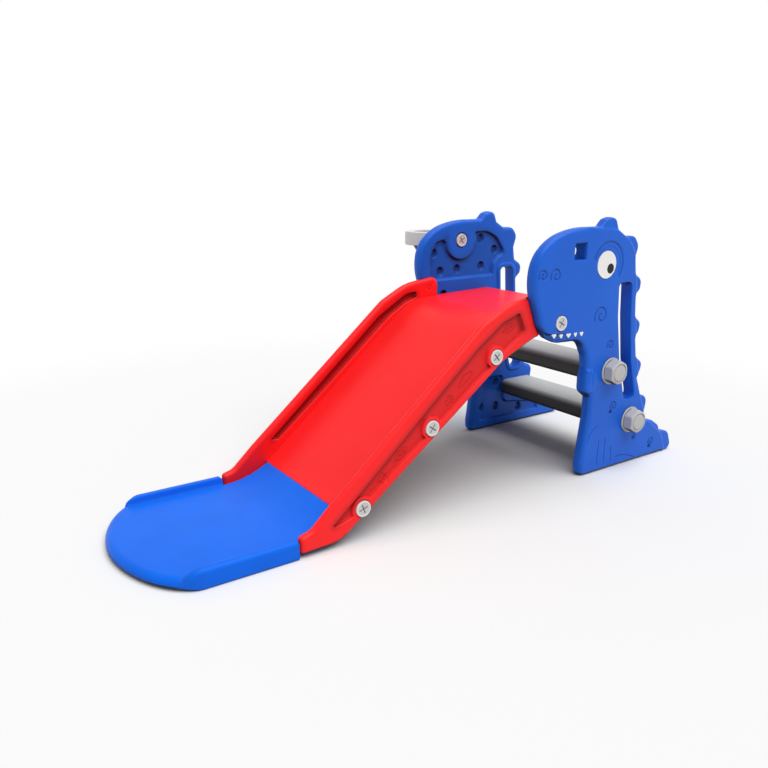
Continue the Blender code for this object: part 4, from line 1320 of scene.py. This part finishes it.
def make_screws():
    """Every capped screw and the hoop's bolt, as instances of one head."""
    nodes = [f"{prefix}_rail_screw_{n}" for side, prefix in SIDES for n in (1, 2, 3)]
    nodes += [f"{prefix}_panel_screw" for side, prefix in SIDES] + ["hoop_bolt"]
    places, poses, shanks = [], [], []
    for number, name in enumerate(nodes):
        low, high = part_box(name)
        faces_left = name.startswith("left") or name == "hoop_bolt"
        places.append(((low.x + high.x) / 2, low.y if faces_left else high.y, (low.z + high.z) / 2))
        poses.append((0.0, 0.7 + 0.35 * math.sin(2.3 * number), math.pi if faces_left else 0.0))
        shanks.append(high.y - low.y)
    screws = empty_object("capped_screws", places)
    screws.data.attributes.new("pose", "FLOAT_VECTOR", "POINT").data.foreach_set("vector", np.ravel(poses))
    screws.data.attributes.new("shank", "FLOAT", "POINT").data.foreach_set("value", shanks)
    head = screw_head()
    material = pale("screw_grey_plastic", 1.45)
    screw_group().evaluate(screws, {"Head": head, "Shank Radius": SHANK_RADIUS, "Material": material})
    bpy.data.objects.remove(head)
    finish_piece(screws, material, "pale_grey", ROOT, *nodes)


# Stage

CAMERA_PLACE = (-0.490, -1.520, 0.793)
CAMERA_YAW = 34.14
CAMERA_PITCH = 15.38
CAMERA_LENS = 34.44


def make_camera():
    data = bpy.data.cameras.new("photo_camera")
    data.sensor_width = 36.0
    data.lens = CAMERA_LENS
    data.clip_start, data.clip_end = 0.05, 100.0
    camera = linked("photo_camera", data)
    camera.location = CAMERA_PLACE
    camera.rotation_euler = (math.radians(90 - CAMERA_PITCH), 0.0, math.radians(-CAMERA_YAW))
    bpy.context.scene.camera = camera


FLOOR_SHADE = 0.78
FLOOR_FADE_START = 1.3
FLOOR_FADE_END = 2.3


def make_floor():
    """A pale floor that keeps the slide's shadow and turns to plain white further out."""
    bpy.ops.mesh.primitive_plane_add(size=60.0, location=(0.6, 0, 0))
    floor = bpy.context.active_object
    floor.name = "floor"
    material, nodes, shader = new_material("pale_floor")
    nodes.feed(shader, {"Base Color": (*[FLOOR_SHADE] * 3, 1), "Roughness": 0.9, "Specular IOR Level": 0.0})
    place = nodes.add("ShaderNodeTexCoord").outputs["Object"]
    reach = nodes.add("ShaderNodeVectorMath", {0: place}, operation="LENGTH").outputs["Value"]
    share = nodes.mapped(reach, 0.0, 1.0, FLOOR_FADE_START, FLOOR_FADE_END, "SMOOTHSTEP")
    white_light = nodes.add("ShaderNodeEmission", {"Strength": 1.0})
    mix = nodes.add("ShaderNodeMixShader", {"Fac": share, 1: shader, 2: white_light})
    nodes.feed(nodes.tree.nodes["Material Output"], {"Surface": mix})
    floor.data.materials.append(material)


WORLD_LIGHT = 0.385
SUN_LIGHT = 2.8
SUN_SPREAD = 64
SUN_HEADING = (-0.12, 0.3, -1.0)


def make_lights():
    """A wide sun and a soft world that looks white to the camera and in reflections."""
    world = bpy.data.worlds.new("studio")
    bpy.context.scene.world = world
    world.use_nodes = True
    nodes = Nodes(world.node_tree)
    soft = nodes.feed(nodes.tree.nodes["Background"], {"Color": (1, 1, 1, 1), "Strength": WORLD_LIGHT})
    seen = nodes.add("ShaderNodeBackground", {"Color": (1, 1, 1, 1), "Strength": 1.0})
    path = nodes.add("ShaderNodeLightPath").outputs
    rays = path["Is Camera Ray"]
    for kind in ("Is Glossy Ray", "Is Transmission Ray"):
        rays = nodes.math("MAXIMUM", rays, path[kind])
    mix = nodes.add("ShaderNodeMixShader", {"Fac": rays, 1: soft, 2: seen})
    nodes.feed(nodes.tree.nodes["World Output"], {"Surface": mix})
    data = bpy.data.lights.new("overhead", "SUN")
    data.energy = SUN_LIGHT
    data.angle = math.radians(SUN_SPREAD)
    sun = linked("overhead", data)
    sun.rotation_euler = Vector(SUN_HEADING).to_track_quat("-Z", "Y").to_euler()
    bpy.context.scene.view_settings.view_transform = "Standard"


# Operators

class SlideSettings(bpy.types.PropertyGroup):
    """The sizes and colours that a user would change"""

    spike_setback: bpy.props.FloatProperty(
        name="Spike setback", description="How far the spikes lie behind the face of the body",
        default=3 * MM, min=0, max=6 * MM, unit="LENGTH",
    )
    lip_rise: bpy.props.FloatProperty(
        name="Lip rise", description="Height of the lips along the run-out's sides",
        default=17.5 * MM, min=0, max=30 * MM, unit="LENGTH",
    )
    step_edge: bpy.props.FloatProperty(
        name="Step edge", description="Radius of the treads' long edges",
        default=18 * MM, min=4 * MM, max=20 * MM, unit="LENGTH",
    )
    thread_pitch: bpy.props.FloatProperty(
        name="Thread pitch", description="Pitch of the thread on the ends of the steps",
        default=6 * MM, min=3 * MM, max=8 * MM, unit="LENGTH",
    )
    panel_colour: bpy.props.FloatVectorProperty(
        name="Panel colour", description="Colour of the side panels", subtype="COLOR", size=3,
        default=(0.008, 0.116, 0.63), min=0, max=1,
    )
    runout_colour: bpy.props.FloatVectorProperty(
        name="Run-out colour", description="Colour of the run-out board", subtype="COLOR", size=3,
        default=(0.004, 0.132, 0.75), min=0, max=1,
    )
    chute_colour: bpy.props.FloatVectorProperty(
        name="Chute colour", description="Colour of the chute and its rails", subtype="COLOR", size=3,
        default=(1.0, 0.016, 0.018), min=0, max=1,
    )
    fitting_colour: bpy.props.FloatVectorProperty(
        name="Fitting colour", description="Colour of the nuts, washers, screws and hoop", subtype="COLOR",
        size=3, default=(0.5, 0.49, 0.485), min=0, max=1,
    )


class OBJECT_OT_slide_panels(bpy.types.Operator):
    """Adds both dinosaur side panels"""

    bl_idname = "object.slide_panels"
    bl_label = "Side Panels"

    def execute(self, context):
        for side, prefix in SIDES:
            make_panel(side, prefix)
        make_teeth()
        return {"FINISHED"}


class OBJECT_OT_slide_rails(bpy.types.Operator):
    """Adds the two side rails of the chute"""

    bl_idname = "object.slide_rails"
    bl_label = "Rails"

    def execute(self, context):
        make_rails()
        return {"FINISHED"}


class OBJECT_OT_slide_boards(bpy.types.Operator):
    """Adds the chute board and the run-out"""

    bl_idname = "object.slide_boards"
    bl_label = "Chute and Run-out"

    def execute(self, context):
        make_chute()
        make_runout()
        return {"FINISHED"}


class OBJECT_OT_slide_nuts(bpy.types.Operator):
    """Adds the four cap nuts and their flange washers"""

    bl_idname = "object.slide_nuts"
    bl_label = "Nuts"

    def execute(self, context):
        for side, prefix in SIDES:
            for label in STEP_AXES:
                on_stub(side, prefix, label, "nut", "cap_nut", nut_rings)
                on_stub(side, prefix, label, "washer", "flange", washer_rings)
        return {"FINISHED"}


class OBJECT_OT_slide_steps(bpy.types.Operator):
    """Adds the two treads"""

    bl_idname = "object.slide_steps"
    bl_label = "Steps"

    def execute(self, context):
        make_steps()
        return {"FINISHED"}


class OBJECT_OT_slide_screws(bpy.types.Operator):
    """Adds the capped screws"""

    bl_idname = "object.slide_screws"
    bl_label = "Screws"

    def execute(self, context):
        make_screws()
        return {"FINISHED"}


class OBJECT_OT_slide_hoop(bpy.types.Operator):
    """Adds the ball hoop"""

    bl_idname = "object.slide_hoop"
    bl_label = "Hoop"

    def execute(self, context):
        make_hoop()
        return {"FINISHED"}


class OBJECT_OT_slide_small_parts(bpy.types.Operator):
    """Gives the carried-over small parts their finishes"""

    bl_idname = "object.slide_small_parts"
    bl_label = "Small Parts"

    def execute(self, context):
        by_slot = {
            "white_inlay": white(), "pale_grey": pale(),
            "black_inlay": plastic("black_inlay_plastic", (0.008, 0.008, 0.01), 0.25, mottle=0.02),
            "dark_grey": plastic("dark_collar_plastic", (0.03, 0.03, 0.032), 0.5),
            "zinc_steel": metal("zinc_plated_steel", (0.6, 0.6, 0.62), 0.35),
        }
        slots = {part["node"]: part["material_slot"] for part in frame["record"]["subparts"]}
        for name, obj in frame["nodes"].items():
            if slots[name] in by_slot:
                obj.data.materials.clear()
                obj.data.materials.append(by_slot[slots[name]])
        return {"FINISHED"}


class OBJECT_OT_slide_stage(bpy.types.Operator):
    """Adds the floor, the light and the camera"""

    bl_idname = "object.slide_stage"
    bl_label = "Stage"

    def execute(self, context):
        make_floor()
        make_lights()
        make_camera()
        return {"FINISHED"}


class VIEW3D_PT_slide(bpy.types.Panel):
    """Lists the slide's sizes, colours and pieces"""

    bl_label = "Toddler Slide"
    bl_space_type = "VIEW_3D"
    bl_region_type = "UI"
    bl_category = "Slide"

    def draw(self, context):
        for name in SlideSettings.__annotations__:
            self.layout.prop(context.scene.slide_settings, name)
        for operator in OPERATORS:
            self.layout.operator(operator.bl_idname)


OPERATORS = (
    OBJECT_OT_slide_panels, OBJECT_OT_slide_rails, OBJECT_OT_slide_boards, OBJECT_OT_slide_steps,
    OBJECT_OT_slide_nuts, OBJECT_OT_slide_screws, OBJECT_OT_slide_hoop, OBJECT_OT_slide_small_parts,
    OBJECT_OT_slide_stage,
)
CLASSES = (SlideSettings, *OPERATORS, VIEW3D_PT_slide)


def register():
    for cls in CLASSES:
        bpy.utils.register_class(cls)
    bpy.types.Scene.slide_settings = bpy.props.PointerProperty(type=SlideSettings)


def unregister():
    del bpy.types.Scene.slide_settings
    for cls in reversed(CLASSES):
        bpy.utils.unregister_class(cls)


def main():
    register()
    bpy.ops.object.slide_panels()
    bpy.ops.object.slide_rails()
    bpy.ops.object.slide_boards()
    bpy.ops.object.slide_steps()
    bpy.ops.object.slide_nuts()
    bpy.ops.object.slide_screws()
    bpy.ops.object.slide_hoop()
    bpy.ops.object.slide_small_parts()
    bpy.ops.object.slide_stage()


if __name__ == "__main__":
    main()
